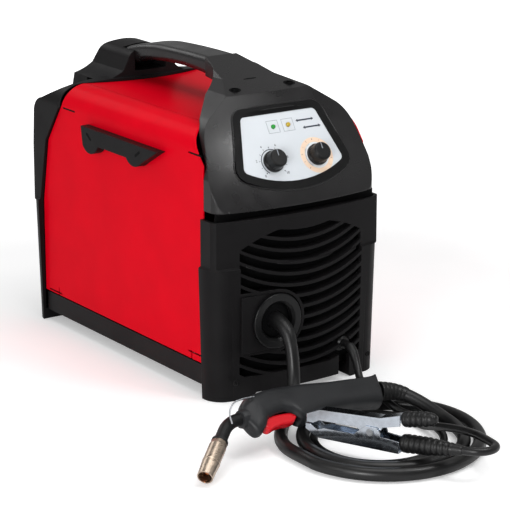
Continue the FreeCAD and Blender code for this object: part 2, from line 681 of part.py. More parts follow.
def rear_moulding():
    wall = S.moulding_wall
    swing = new_body("rear_swing")
    swung(swing, [rear_side()], -S.bulge_centre)
    front = new_body("rear_front")
    slab(front, "XZ", [mirrored(rear_front())], 0, S.overall_length)
    outer = fuse("rear_outer", common("rear_body", swing, front, drafted_corners("rear", rear_plan())),
                 cowl("rear_cowl"))
    room = new_body("rear_room")
    inner = PANEL + S.clearance
    deck = S.deck_height + S.clearance
    slab(room, "XZ", [mirrored([(S.grille_half + 12, FLOOR), (inner, FLOOR), (inner, S.deck_height - 27),
                                (inner - S.shoulder_radius, deck, S.shoulder_radius, 1)])], 0, S.overall_length)
    inside = new_body("rear_inside")
    swung(inside, [rear_side(wall, -20)], -S.bulge_centre)
    space = common("rear_space", inside, room, drafted_corners("rear_room", rear_corners(wall + 1)))
    shell = boolean("Cut", "rear_shell", outer, space)
    edge = new_body("rear_joint")
    line = rear_line(S.door_gap)
    slab(edge, "YZ", [[(as_size(30), as_size(-30)), (S.rear_edge + S.door_gap, as_size(-30))] + line[::-1]
                      + [(line[0][0], deck), (as_size(30), deck)]], -HALF_W * 2, S.overall_width * 2)
    trims = new_body("rear_trims")
    slab(trims, "XZ", [[(-S.grille_half + 7, as_size(-5)), (S.grille_half - 7, as_size(-5)),
                        (S.grille_half - 22, S.ground_gap), (-S.grille_half + 22, S.ground_gap)]],
         HALF_L - 60, 80)
    vents = new_body("rear_vents")
    low = S.fan_z - S.fan_size / 2
    left, right = S.fan_x - S.fan_size / 2, S.fan_x + S.fan_size / 2
    vent = slab(vents, "XZ", [[(left, low), (right, low), (right, low + 5, 2.5, 1), (left, low + 5)]],
                HALF_L - 20, 40)
    pattern = vents.newObject("PartDesign::LinearPattern", "vent_rows")
    pattern.Originals = [vent]
    pattern.Direction = ([item for item in vents.Origin.OriginFeatures if item.Role == "Z_Axis"][0], [""])
    bind(pattern, "Length", S.fan_size - 11)
    pattern.Occurrences = 10
    vents.Tip = pattern
    seat = new_body("handle_seat")
    top, back = S.handle_top, as_size(150) + S.clearance
    slab(seat, "YZ", [[(as_size(100), top - 42 - S.clearance), (back, top - 42 - S.clearance), (back, top - 21.5),
                       (as_size(136), top - 16.5), (as_size(120), top + 5), (as_size(100), top + 5)]],
         -S.handle_width / 2 - S.clearance, S.handle_width + 2 * S.clearance)
    ways = fuse("rear_ways", cylinder("mains_way", GLAND_R, 60, GLAND_X, HALF_L - 40, GLAND_Z, (1, 0, 0), -90),
                cylinder("gas_way", INLET_R, 60, INLET_X, HALF_L - 40, GLAND_Z, (1, 0, 0), -90))
    switch = new_body("switch_way")
    slab(switch, "XZ", [box_loop(SWITCH_X - 14 - S.clearance, SWITCH_X + 14 + S.clearance,
                                 SWITCH_Z - 11 - S.clearance, SWITCH_Z + 11 + S.clearance)], HALF_L - 40, 80)
    bosses = []
    reach = S.fan_size / 2 - 4.75
    for side_x in (-1, 1):
        for side_z in (-1, 1):
            bosses.append(cylinder("fan_boss", 3.5, 40, S.fan_x + reach * side_x,
                                   S.fan_front + S.fan_depth, S.fan_z + reach * side_z, (1, 0, 0), -90))
    inside_limit = new_body("boss_limit")
    swung(inside_limit, [rear_side(wall - 1, -20)], -S.bulge_centre)
    bored = boolean("Cut", "rear_bored", shell, fuse("rear_cuts", edge, trims, vents, seat, ways, switch))
    return keep("rear_moulding", fuse("rear_moulding", bored,
                                      common("fan_bosses", fuse("boss_set", *bosses), inside_limit)))


def base_tray():
    """Folded tray that the mouldings carry and everything inside stands on."""
    tray = new_body("base_tray")
    half, thick, low = PANEL - 0.5, S.sheet, S.tray_floor
    front, length = -S.front_edge - 14, S.front_edge + S.rear_edge + 24
    slab(tray, "XZ", [[(-half, low), (half, low), (half, S.tray_side), (half - thick, S.tray_side),
                       (half - thick, low + thick), (-half + thick, low + thick),
                       (-half + thick, S.tray_side), (-half, S.tray_side)]], front, length)
    for y in (-S.hinge_reach - S.ear_thick - S.sheet - 0.5, S.hinge_reach + S.ear_thick + 0.5):
        x, z = S.hinge_x, S.hinge_z
        slab(tray, "XZ", [[(x - 3.5, low + thick), (x + 9, low + thick), (x + 9, z), (x - 4, z, 6.5, 1),
                           (x - 3.8, S.tray_side)]], y, S.sheet)
    cut(tray, "XZ", [Circle(S.hinge_x, S.hinge_z, S.pin_radius)], front, length)
    corner = 14
    for end, way in ((front, 1), (front + length, -1)):
        cut(tray, "XY", [[(half * side + side, end + corner * way), (half * side - corner * side, end),
                          (half * side - corner * side, end - 5 * way), (half * side + side, end - 5 * way)]
                         for side in (-1, 1)], 0, 60)
    return keep("base_tray", tray)


def folded_sheet(label, left, right):
    """Sheet that follows the housing's section between two points of its outline."""
    sheet = new_body(label)
    slab(sheet, "XZ", [left + right], -S.front_edge - 10, S.front_edge + S.rear_edge + 20)
    side = new_body(label + "_side")
    slab(side, "YZ", [covers_side()], -HALF_W, S.overall_width)
    return common(label + "_sheet", sheet, side)


def cover_shell():
    """Deck, right shoulder and right side in one folded sheet, with a lip that the latch bears on."""
    half, thick, deck, radius = PANEL, S.sheet, S.deck_height, S.shoulder_radius
    seam = -half + radius + SEAM_FLAT + S.door_gap / 2
    lip = deck - 16.5
    sheet = folded_sheet("cover", [(half - thick, S.panel_bottom), (half, S.panel_bottom), (half, deck - radius),
                                   (half - radius, deck, radius, 1), (seam, deck)],
                         [(seam, lip), (seam + thick, lip), (seam + thick, deck - thick),
                          (half - radius, deck - thick), (half - thick, deck - radius, radius - thick, -1)])
    slots = new_body("cover_slots")
    slot = slab(slots, "YZ", [[(as_size(-130), as_size(70)), (as_size(-126), as_size(70), 2, 1),
                               (as_size(-126), as_size(140)), (as_size(-130), as_size(140), 2, 1)]],
                half - 10, 20)
    pattern = slots.newObject("PartDesign::LinearPattern", "slot_rows")
    pattern.Originals = [slot]
    pattern.Direction = ([item for item in slots.Origin.OriginFeatures if item.Role == "Y_Axis"][0], [""])
    bind(pattern, "Length", 110)
    pattern.Occurrences = 12
    slots.Tip = pattern
    return keep("cover_shell", boolean("Cut", "cover_shell", sheet, slots))


def side_door():
    """Door of the reel compartment: flat side and left shoulder, hinged low down on two ears."""
    half, thick, deck, radius = PANEL, S.sheet, S.deck_height, S.shoulder_radius
    seam = -half + radius + SEAM_FLAT - S.door_gap / 2
    sheet = folded_sheet("door", [(-half, S.panel_bottom), (-half + thick, S.panel_bottom),
                                  (-half + thick, deck - radius), (-half + radius, deck - thick, radius - thick, -1),
                                  (seam, deck - thick)],
                         [(seam, deck), (-half + radius, deck), (-half, deck - radius, radius, 1)])
    ears = new_body("door_ears")
    x, z = S.hinge_x, S.hinge_z
    for y in (-S.hinge_reach - S.ear_thick, S.hinge_reach):
        slab(ears, "XZ", [[(-half + 0.7, S.panel_bottom + 0.5), (x, z - 5), (x, z + 5, 5, 1),
                           (-half + 0.7, z + 14)]], y, S.ear_thick)
    slots = new_body("door_slots")
    slab(slots, "XZ", [Circle(x, z, S.pin_radius + S.running)], -S.front_edge, S.front_edge + S.rear_edge)
    for y in (LATCH_ARM, -LATCH_ARM):
        slab(slots, "YZ", [box_loop(y - 6.5, y + 6.5, LATCH_Z - 5.5 - LATCH_TRAVEL, LATCH_Z + 5.5)], -half - 5, 10)
    relief = S.sheet + 1.1
    for y in (-S.hinge_reach - S.ear_thick - relief, S.hinge_reach + S.ear_thick):
        slab(slots, "YZ", [box_loop(y, y + relief, S.panel_bottom - 5, z + 4.5)], -half - 5, 10)
    for y, low in ((-177, 283), (-179, 47), (105, 283), (145, 41.5)):
        long = 28 if low > 200 else 33
        slab(slots, "YZ", [box_loop(as_size(y), as_size(y + long), as_size(low), as_size(low + 2))], -half - 5, 10)
    return keep("side_door", boolean("Cut", "side_door", fuse("door_panel", sheet, ears), slots))


def hinge_pin(node, y, way):
    """Headed pin: its shank is held by the tray's bracket and carries the door's ear."""
    pin = new_body(node)
    turned(pin, [[(0, 0), (S.pin_radius + 1.5, 0), (S.pin_radius + 1.5, 1.5), (S.pin_radius, 1.5),
                  (S.pin_radius, 7.5), (0, 7.5)]])
    place(pin, S.hinge_x, y, S.hinge_z, (1, 0, 0), 90 * way)
    return keep(node, pin)


def hinge_pin_front():
    return hinge_pin("hinge_pin_front", -S.hinge_reach - S.ear_thick - S.sheet - 2, -1)


def hinge_pin_rear():
    return hinge_pin("hinge_pin_rear", S.hinge_reach + S.ear_thick + S.sheet + 2, 1)


def latch_grip():
    """Sliding grip with two finger scoops; two arms reach through the door up to the lip."""
    bar = new_body("latch_bar")
    face = -PANEL - S.clearance
    slab(bar, "YZ", [[(-101.6, 275), (-66, 255), (-63, 253), (-36, 253, 22, 1), (-33, 256), (31, 256), (34, 252),
                      (67, 252, 21, 1), (70.6, 275)]], face - 11.5, 11.5)
    arms = new_body("latch_arms")
    inner = -PANEL + S.sheet
    tip = -PANEL + S.shoulder_radius + SEAM_FLAT + S.door_gap / 2 + S.sheet + 0.6
    lip = S.deck_height - 16.5
    for y in (-LATCH_ARM, LATCH_ARM):
        slab(arms, "XZ", [[(face - 3, LATCH_Z - 5), (inner + 4, LATCH_Z - 5), (inner + 4, lip - 11.5),
                           (tip + 3, lip - 11.5), (tip + 3, lip - 1), (tip, lip - 1), (tip, lip - 8.5),
                           (inner + 1, lip - 8.5), (inner + 1, LATCH_Z + 5), (face - 3, LATCH_Z + 5)]],
             y - 6, 12)
    return keep("latch_grip", fuse("latch_grip", bar, arms))


def control_panel():
    """Flat plate that fills the floor of the hood's recess."""
    plate = new_body("control_panel")
    slab(plate, "XY", [panel_outline(-S.clearance)], 0, S.panel_sheet)
    cut(plate, "XY", [Circle(S.knob_left_x, -S.knob_drop, S.shaft_radius + 0.5),
                      Circle(S.knob_right_x, -S.knob_drop, S.shaft_radius + 0.5),
                      Circle(-11.5, -17, S.lamp_radius + S.clearance),
                      Circle(9.3, -17, S.lamp_radius + S.clearance)], -1, S.panel_sheet + 2)
    return keep("control_panel", on_panel(plate))


def knob(node, x):
    """Fluted knob with a pointer groove; its shaft turns in the potentiometer behind the panel."""
    body = new_body(node)
    base, top, radius = S.panel_sheet + S.clearance, S.panel_sheet + S.clearance + S.knob_height, S.knob_radius
    turned(body, [[(0, BOARD_OUT + 0.5), (S.shaft_radius, BOARD_OUT + 0.5), (S.shaft_radius, base),
                   (radius + 0.8, base), (radius + 0.8, base + 3), (radius - 0.4, base + 4), (radius - 1.2, top - 2),
                   (radius - 3.2, top, 2.2, 1), (0, top)]])
    flute = cut(body, "XY", [Circle(radius + 0.9, 0, 1.9)], base + 4.5, S.knob_height)
    pattern = body.newObject("PartDesign::PolarPattern", "flutes")
    pattern.Originals = [flute]
    pattern.Axis = ([item for item in body.Origin.OriginFeatures if item.Role == "Z_Axis"][0], [""])
    pattern.Angle = 360
    pattern.Occurrences = 12
    body.Tip = pattern
    cut(body, "XY", [box_loop(-0.7, 0.7, 2, radius)], top - 0.8, 3)
    return keep(node, on_panel(body, x, S.knob_drop))


def knob_left():
    return knob("knob_left", S.knob_left_x)


def knob_right():
    return knob("knob_right", S.knob_right_x)


def lamp(node, x):
    body = new_body(node)
    radius, top = S.lamp_radius, S.panel_sheet + 1
    turned(body, [[(0, BOARD_OUT), (radius, BOARD_OUT), (radius, top), (0, top + radius, radius, 1)]])
    return keep(node, on_panel(body, x, 17))


def led_power():
    return lamp("led_power", -11.5)


def led_alarm():
    return lamp("led_alarm", 9.3)


def control_board():
    """Circuit board behind the panel, on four pillars, with the two potentiometers."""
    board = new_body("control_board")
    thick = 1.6
    slab(board, "XY", [box_loop(-48, 48, -70, -8)], BOARD_OUT - thick, thick)
    slab(board, "XY", [Circle(x, y, 3) for x in (-44, 44) for y in (-66, -12)], BOARD_OUT, -BOARD_OUT - S.hood_wall)
    for x in (S.knob_left_x, S.knob_right_x):
        slab(board, "XY", [Circle(x, -S.knob_drop, 8)], BOARD_OUT, 6)
    cut(board, "XY", [Circle(S.knob_left_x, -S.knob_drop, S.shaft_radius + S.running),
                      Circle(S.knob_right_x, -S.knob_drop, S.shaft_radius + S.running)], BOARD_OUT - 5, 20)
    slab(board, "XY", [box_loop(-12, 12, -44, -32)], BOARD_OUT - thick - 9, 9)
    return keep("control_board", on_panel(board))


# Inside: partition, reel, wire feeder and power electronics

def centre_partition():
    """Upright sheet between the reel compartment and the electronics."""
    sheet = new_body("centre_partition")
    x, thick = S.partition_x, S.partition_sheet
    floor, deck = S.tray_floor + S.sheet, S.deck_height - S.sheet - S.clearance
    slab(sheet, "YZ", [[(as_size(-172), floor), (as_size(172), floor), (as_size(172), deck - 95),
                        (as_size(122), deck - 12), (as_size(122), deck), (as_size(-140), deck),
                        (as_size(-172), deck - 42)]], x, thick)
    slab(sheet, "XY", [box_loop(x, x + 14, -150, -122)], floor, thick)
    slab(sheet, "XY", [box_loop(x, x + 14, 130, 158)], floor, thick)
    cut(sheet, "YZ", [Circle(S.feed_y, FEED_Z, 14)], x - 5, 10)
    return keep("centre_partition", sheet)


def spool_hub():
    hub = new_body("spool_hub")
    turned(hub, [[(0, 0), (S.hub_radius + 12, 0), (S.hub_radius + 12, 5), (S.hub_radius, 5),
                  (S.hub_radius, SPOOL_LENGTH), (0, SPOOL_LENGTH)]])
    return keep("spool_hub", place(hub, S.partition_x, S.reel_y, S.reel_z, (0, 1, 0), -90))


def spool_retainer():
    cap = new_body("spool_retainer")
    turned(cap, [[(0, 0), (S.hub_radius + 6, 0), (S.hub_radius + 6, 3), (S.hub_radius + 3, 8, 6, 1), (0, 8)]])
    slab(cap, "XY", [box_loop(-3, 3, -S.hub_radius, S.hub_radius)], 8, 4)
    return keep("spool_retainer", place(cap, S.partition_x - SPOOL_LENGTH, S.reel_y, S.reel_z, (0, 1, 0), -90))


def wire_spool():
    """Wire reel: two flanges with round windows and a barrel that turns on the hub."""
    spool = new_body("wire_spool")
    half, bore = S.reel_width / 2, S.hub_radius + S.clearance
    barrel, rim, thick = 50, S.reel_radius, 2.5
    turned(spool, [[(bore, -half), (rim, -half), (rim, -half + thick), (barrel, -half + thick),
                    (barrel, half - thick), (rim, half - thick), (rim, half), (bore, half)]])
    cut(spool, "XY", [Circle(73 * math.cos(math.radians(a)), 73 * math.sin(math.radians(a)), 13)
                      for a in range(0, 360, 60)], -half - 1, S.reel_width + 2)
    return keep("wire_spool", place(spool, S.reel_x, S.reel_y, S.reel_z, (0, 1, 0), -90))


def welding_wire():
    """The wound wire as one even ring between the flanges."""
    ring = new_body("welding_wire")
    half = S.reel_width / 2 - 2.5 - S.clearance
    turned(ring, [[(50, -half), (88, -half), (88, half), (50, half)]])
    return keep("welding_wire", place(ring, S.reel_x, S.reel_y, S.reel_z, (0, 1, 0), -90))


def feed_plate():
    """Moulded plate on the partition with the pivot of the pressure arm and the inlet guide."""
    plate = new_body("feed_plate")
    left, x = S.partition_x - 8, S.outlet_x
    y, z = S.feed_y, S.outlet_z
    slab(plate, "YZ", [[(y - 52, z - 38), (y + 48, z - 38), (y + 52, z - 20), (y + 52, z + 6),
                        (y + 20, z + 14), (y - 20, z + 30), (y - 52, z + 36)]], left, 8)
    cut(plate, "YZ", [Circle(y, FEED_Z, 4 + S.running)], left - 1, 20)
    slab(plate, "YZ", [Circle(ARM_Y, ARM_Z, 3)], left - 15, 15.5)
    guide = [[(left + 0.5, z - 6), (x - 6, z - 6), (x - 6, z + 6, 6, 1), (left + 0.5, z + 6)]]
    slab(plate, "XZ", guide, y + 28, 22)
    slab(plate, "XZ", guide, y - 50, 26)
    cut(plate, "XZ", [Circle(x, z, 1.5)], y - 60, 120)
    return keep("feed_plate", plate)


def drive_roll():
    roll = new_body("drive_roll")
    radius, half = S.feed_roll, 3.5
    turned(roll, [[(0, -ROLL_SHAFT), (4, -ROLL_SHAFT), (4, -half - 2), (8, -half - 2), (8, -half), (radius, -half),
                   (radius, -1), (radius - 0.7, 0), (radius, 1), (radius, half), (8, half), (8, half + 4),
                   (0, half + 4)]])
    return keep("drive_roll", place(roll, S.outlet_x, S.feed_y, FEED_Z, (0, 1, 0), -90))


def pressure_roll():
    roll = new_body("pressure_roll")
    radius, half = S.press_roll, 3.5
    turned(roll, [[(2.5 + S.running, -half), (radius, -half), (radius, -1), (radius - 0.7, 0), (radius, 1),
                   (radius, half), (2.5 + S.running, half)]])
    return keep("pressure_roll", place(roll, S.outlet_x, S.feed_y, PRESS_Z, (0, 1, 0), -90))


def pressure_arm():
    """Arm that pivots behind the pressure roll and carries the tension screw at its free end."""
    arm = new_body("pressure_arm")
    right, thick = S.partition_x - 9.3, 4
    y, z = S.feed_y, PRESS_Z
    slab(arm, "YZ", [[(ARM_Y, ARM_Z - 8, 8, 1), (y, z - 8), (y + 22, z + 2), (y + 42, z + 2),
                      (y + 42, z + 11.5), (y, z + 12), (ARM_Y, ARM_Z + 8)]], right - thick, thick)
    cut(arm, "YZ", [Circle(ARM_Y, ARM_Z, 3 + S.running)], right - 10, 20)
    slab(arm, "YZ", [Circle(y, z, 2.5)], S.outlet_x - 6, right - thick - S.outlet_x + 6.5)
    slab(arm, "YZ", [Circle(y, z, 5)], S.outlet_x - 6, 2)
    slab(arm, "XY", [[(right - 0.5, y + 26), (right - 0.5, y + 42), (S.outlet_x, y + 42),
                      (S.outlet_x, y + 26, 8, 1)]], z + 4, 8)
    cut(arm, "XY", [Circle(S.outlet_x, y + 34, 2.5 + S.running)], z, 20)
    return keep("pressure_arm", arm)


def tension_knob():
    screw = new_body("tension_knob")
    turned(screw, [[(0, -10), (2.5, -10), (2.5, 8.3), (8, 8.3), (9, 12), (8, 27), (6, 29, 2.4, 1), (0, 29)]])
    return keep("tension_knob", place(screw, S.outlet_x, S.feed_y + 34, PRESS_Z + 4))


def feed_motor():
    """Geared motor behind the partition; the roll's shaft runs into its gearbox."""
    motor = new_body("feed_motor")
    turned(motor, [[(4 + S.running, 0), (22, 0), (22, 24), (24, 24), (24, 72), (20, 76), (0, 76), (0, 12),
                    (4 + S.running, 12)]])
    slab(motor, "XY", [[(-30, -10), (30, -10), (30, 10), (-30, 10)]], 0, 4)
    cut(motor, "XY", [Circle(0, 0, 4 + S.running)], -1, 13)
    return keep("feed_motor", place(motor, S.partition_x + S.partition_sheet, S.feed_y, FEED_Z, (0, 1, 0), 90))


def wire_strand():
    """The wire from the reel through the guides and between the rolls to the adapter."""
    x, y, z = S.outlet_x.value, S.feed_y.value, S.outlet_z.value
    reel_y, reel_z, radius = S.reel_y.value, S.reel_z.value, S.wire_radius.value
    return cable("wire_strand", [(x - 8, reel_y - 15, reel_z - 88), (x - 4, reel_y - 75, z - 4),
                                 (x, y + 54, z), (x, y - 69, z)], radius)


def torch_adapter():
    """Socket behind the outlet: flange on the moulding's wall and a nose towards the feeder."""
    body = new_body("torch_adapter")
    turned(body, [[(1.5, -42), (7, -42), (9, -30), (9, -6), (27, -6), (27, 0), (S.outlet_bore - S.clearance, 0),
                   (S.outlet_bore - S.clearance, 6), (12, 6), (12, 1), (1.5, 1)]])
    return keep("torch_adapter", place(body, S.outlet_x, OUTLET_BACK, S.outlet_z, (1, 0, 0), 90))


def heatsink():
    """Finned aluminium block that stands on the tray."""
    block = new_body("heatsink")
    x, z, pitch, thick, high = 0, S.tray_floor + S.sheet, 9, 2.5, 44
    outline = [(x, z), (x + 10 * pitch + thick, z)]
    for fin in range(10, -1, -1):
        outline += [(x + fin * pitch + thick, z + high), (x + fin * pitch, z + high)]
        if fin:
            outline += [(x + fin * pitch, z + 7), (x + (fin - 1) * pitch + thick, z + 7)]
    slab(block, "XZ", [outline], -50, 170)
    return keep("heatsink", block)


def power_board():
    """Main board on four pillars above the fins, with its capacitors."""
    board = new_body("power_board")
    z = S.tray_floor + S.sheet + 44
    slab(board, "XY", [Circle(x, y, 4) for x in (10.25, 82.25) for y in (-40, 110)], z, 5)
    slab(board, "XY", [box_loop(2, 92, -50, 120)], z + 5, 1.6)
    slab(board, "XY", [Circle(x, y, 13) for x in (25, 60) for y in (-25, 10)], z + 6.6, 40)
    slab(board, "XY", [box_loop(15, 75, 50, 95)], z + 6.6, 30)
    return keep("power_board", board)


def transformer():
    """Ferrite core with its winding, on the tray."""
    core = new_body("transformer")
    z = S.tray_floor + S.sheet
    slab(core, "XZ", [box_loop(0, 72, z, z + 58)], -172, 34)
    cut(core, "XZ", [box_loop(11, 27, z + 12, z + 46), box_loop(45, 61, z + 12, z + 46)], -180, 60)
    winding = new_body("winding")
    slab(winding, "YZ", [[(as_size(-178), z + 14), (as_size(-132), z + 14), (as_size(-132), z + 44, 40, 1),
                          (as_size(-178), z + 44)]], 13, 46)
    return keep("transformer", fuse("transformer", core, winding))


# Rear: fan, switch, cable gland and gas inlet

def fan_frame():
    """Square fan housing with corner holes and a spider that holds the motor."""
    frame = new_body("fan_frame")
    half, deep = S.fan_size / 2, S.fan_depth
    slab(frame, "XY", [box_loop(-half, half, -half, half)], 0, deep)
    cut(frame, "XY", [Circle(0, 0, half - 2.5)], -1, deep + 2)
    slab(frame, "XY", [box_loop(-half + 1, half - 1, -2.5, 2.5)], 0, 3)
    slab(frame, "XY", [box_loop(-2.5, 2.5, -half + 1, half - 1)], 0, 3)
    slab(frame, "XY", [Circle(0, 0, 17)], 0, 3)
    slab(frame, "XY", [Circle(0, 0, 2)], 0, deep - 3)
    return keep("fan_frame", place(frame, S.fan_x, S.fan_front + deep, S.fan_z, (1, 0, 0), 90))


def fan_rotor():
    """Hub with seven pitched blades."""
    rotor = new_body("fan_rotor")
    tip = S.fan_size / 2 - 4.5
    turned(rotor, [[(2 + S.running, 5), (17, 5), (17, 20), (15, 22, 2.2, 1), (2 + S.running, 22)]])
    blade = slab(rotor, "YZ", [[(-9, 7), (-7, 6), (10, 19.5), (8, 20.5)]], 16, tip - 16)
    pattern = rotor.newObject("PartDesign::PolarPattern", "blades")
    pattern.Originals = [blade]
    pattern.Axis = ([item for item in rotor.Origin.OriginFeatures if item.Role == "Z_Axis"][0], [""])
    pattern.Angle = 360
    pattern.Occurrences = 7
    rotor.Tip = pattern
    return keep("fan_rotor", place(rotor, S.fan_x, S.fan_front + S.fan_depth, S.fan_z, (1, 0, 0), 90))


def switch_frame():
    frame = new_body("switch_frame")
    x, z, wall = SWITCH_X, SWITCH_Z, SWITCH_WALL
    slab(frame, "XZ", [box_loop(x - 16.5, x + 16.5, z - 13.5, z + 13.5)], wall + 0.3, 1.7)
    slab(frame, "XZ", [box_loop(x - 14, x + 14, z - 11, z + 11)], wall - 22, 22.5)
    cut(frame, "XZ", [box_loop(x - 11.5, x + 11.5, z - 9.6, z + 9.6)], wall - 16, 25)
    cut(frame, "YZ", [Circle(wall - 6, z, 1.5 + S.running)], x - 13, 26)
    return keep("switch_frame", frame)


def power_switch():
    """Rocker with two slanting faces on a cross pin."""
    rocker = new_body("power_switch")
    x, z, wall = SWITCH_X, SWITCH_Z, SWITCH_WALL
    slab(rocker, "YZ", [[(wall - 11, z - 4), (wall + 1.5, z - 7.2), (wall + 1.8, z - 6.6), (wall - 0.5, z),
                         (wall + 1.8, z + 6.6), (wall + 1.5, z + 7.2), (wall - 11, z + 4)]], x - 11, 22)
    slab(rocker, "YZ", [Circle(wall - 6, z, 1.5)], x - 12.8, 25.6)
    return keep("power_switch", rocker)


def mains_gland():
    """Hollow cable gland for the supply lead, with its lock nut inside the wall."""
    gland = new_body("mains_gland")
    bore = 5
    turned(gland, [[(bore, 0), (GLAND_R + 3, 0), (GLAND_R + 3, 2), (GLAND_R - 0.5, 5), (bore, 5)]])
    turned(gland, [[(bore, -16), (GLAND_R - S.clearance, -16), (GLAND_R - S.clearance, 0.5), (bore, 0.5)]])
    slab(gland, "XY", [[((GLAND_R + 3) * math.cos(math.radians(a)), (GLAND_R + 3) * math.sin(math.radians(a)))
                        for a in range(0, 360, 60)]], -11.6, 5)
    cut(gland, "XY", [Circle(0, 0, bore)], -20, 30)
    return keep("mains_gland", place(gland, GLAND_X, GLAND_WALL, GLAND_Z, (1, 0, 0), -90))


def gas_inlet():
    inlet = new_body("gas_inlet")
    turned(inlet, [[(1.5, -30), (4.7, -30), (4.7, -12), (8, -12), (8, -9), (4.7, -9), (4.7, 0), (7, 0), (7, 2),
                    (3.2, 2), (3.2, 4), (4, 4.6), (3.2, 7), (3.8, 7.2), (2.8, 9.2), (1.5, 9.2)]])
    return keep("gas_inlet", place(inlet, INLET_X, INLET_WALL, GLAND_Z, (1, 0, 0), -90))


# Front outlets

def outlet_plate():
    """Cover plate round the torch outlet: half round on the right, square on the left."""
    plate = new_body("outlet_plate")
    slab(plate, "XZ", [outlet_outline()], OUTLET_SEAT - S.outlet_sheet, S.outlet_sheet)
    cut(plate, "XZ", [Circle(S.outlet_x, S.outlet_z, S.outlet_bore)], -HALF_L - 20, 60)
    return keep("outlet_plate", plate)


def outlet_collar():
    collar = new_body("outlet_collar")
    radius, bore, high = S.outlet_radius - 1, S.outlet_bore, S.collar_height
    turned(collar, [[(bore, 0), (radius, 0), (radius, high - 1.5), (radius - 1.5, high, 1.5, 1),
                     (bore + 3, high), (bore, high - 3)]])
    return keep("outlet_collar", place(collar, S.outlet_x, OUTLET_SEAT - S.outlet_sheet, S.outlet_z, (1, 0, 0), 90))


def earth_gland():
    """Grommet in the notch through which the earth cable leaves."""
    gland = new_body("earth_gland")
    turned(gland, [[(0, -5), (11, -5), (11, 0), (S.notch_width / 2 - S.clearance, 0),
                    (S.notch_width / 2 - S.clearance, 6), (6.5, 8), (0, 8)]])
    return keep("earth_gland", place(gland, S.notch_x, OUTLET_BACK, EARTH_Z, (1, 0, 0), 90))


# Torch: its own frame runs along the handle (x), up across it (y) and out of its side (z)

def torch_turn():
    up = TORCH_SIDE.cross(TORCH_ALONG)
    return FreeCAD.Rotation(TORCH_ALONG, up, TORCH_SIDE, "ZXY")


def on_torch(item):
    item.Placement = FreeCAD.Placement(TORCH_AT, torch_turn())
    return item


def handle_outline():
    return [(-9, -49), (4, -44), (12, -33), (36, -29), (46, -34), (54, -45), (62, -45), (86, -37, 60, -1),
            (130, -37), (171, -42), (178, 0, 260, -1), (112, 0), (50, 6, 200, 1), (0, 0, 80, 1), (-17, -25, 60, 1)]


def torch_half(node, way):
    """Half of the handle, split along its middle, hollow where the trigger, neck and cable go in.

    `way` is +1 for the half on the upper side and -1 for the other one.
    """
    half = new_body(node + "_outline")
    thick = 17
    slab(half, "XY", [handle_outline()], 0, thick, back=way < 0)
    section = new_body(node + "_section")
    slab(section, "YZ", [[(-60, 0), (9, 0), (9, 3 * way), (-6, 13.5 * way, 22, way), (-34, 13.5 * way),
                          (-60, 2 * way, 34, way)]], -30, 230)
    ways = new_body(node + "_ways")
    slab(ways, "XY", [box_loop(-0.5, 53, -60, -22)], -6.4, 12.8)
    slab(ways, "XY", [Circle(8, -35, 2 + S.running)], -9.5, 19)
    slab(ways, "YZ", [Circle(-21, 0, S.torch_cable + S.running)], 160, 30)
    slab(ways, "YZ", [Circle(-24, 0, 7 + 2 * S.running)], -40, 48)
    solid = common(node + "_solid", half, section)
    return keep(node, on_torch(boolean("Cut", node, solid, ways)))


def torch_handle_left():
    return torch_half("torch_handle_left", -1)


def torch_handle_right():
    return torch_half("torch_handle_right", 1)


def torch_trigger():
    """Curved trigger on a cross pin near the head of the torch."""
    trigger = new_body("torch_trigger")
    slab(trigger, "XY", [[(3, -38), (5, -46), (12, -52, 9, 1), (30, -49.5, 30, -1), (47, -49), (49, -45), (47, -36),
                          (38, -28), (16, -28)]], -6, 12)
    slab(trigger, "XY", [Circle(8, -35, 2)], -9, 18)
    return keep("torch_trigger", on_torch(trigger))


NECK_BEND, NECK_END = Vector(-33, -24, 0), Vector(-58, -47.6, 0)


def swan_neck():
    """Insulated neck that bends down to the nozzle, with the bare nose that holds it."""
    points = [Vector(8, -24, 0), NECK_BEND, NECK_END]
    neck = DOC.addObject("Part::Feature", "swan_neck")
    shape, _ = pipe(points, 7.0)
    along = (points[2] - points[1]).normalize()
    nose = Part.makeCylinder(5.5, 16, points[2] - along * 2, along)
    neck.Shape = shape.fuse(nose).removeSplitter()
    return keep("swan_neck", on_torch(neck))


def gas_nozzle():
    nozzle = new_body("gas_nozzle")
    turned(nozzle, [[(5.5 + S.running, 0), (8.6, 0), (9.4, 6), (9.4, 34), (8.6, 52), (7.4, 52), (7.6, 16),
                     (5.5 + S.running, 14)]])
    return keep("gas_nozzle", on_nose(nozzle, 1))


def contact_tip():
    tip = new_body("contact_tip")
    turned(tip, [[(0.6, 14), (4, 14), (4, 26), (3, 28), (3, 43), (2, 46), (0.6, 46)]])
    return keep("contact_tip", on_nose(tip, 0))


def on_nose(item, gap):
    """Place a turned body on the end of the neck, its own Z pointing out of the neck."""
    along = (NECK_END - NECK_BEND).normalize()
    local = FreeCAD.Placement(NECK_END + along * gap, FreeCAD.Rotation(Vector(0, 0, 1), along))
    item.Placement = FreeCAD.Placement(TORCH_AT, torch_turn()).multiply(local)
    return item


def torch_hook():
    """Thin wire hook on the head, for hanging up the torch."""
    hook = DOC.addObject("Part::Feature", "torch_hook")
    points = [Vector(3, -8, 14.7), Vector(-12, -8, 14.7), Vector(-26, -10, 14), Vector(-36, -20, 12),
              Vector(-38, -33, 10)]
    hook.Shape, _ = pipe(points, 0.9)
    return keep("torch_hook", on_torch(hook))


# Earth clamp: its own frame runs from the tips of the jaws to the handles (x), across (y) and up (z)

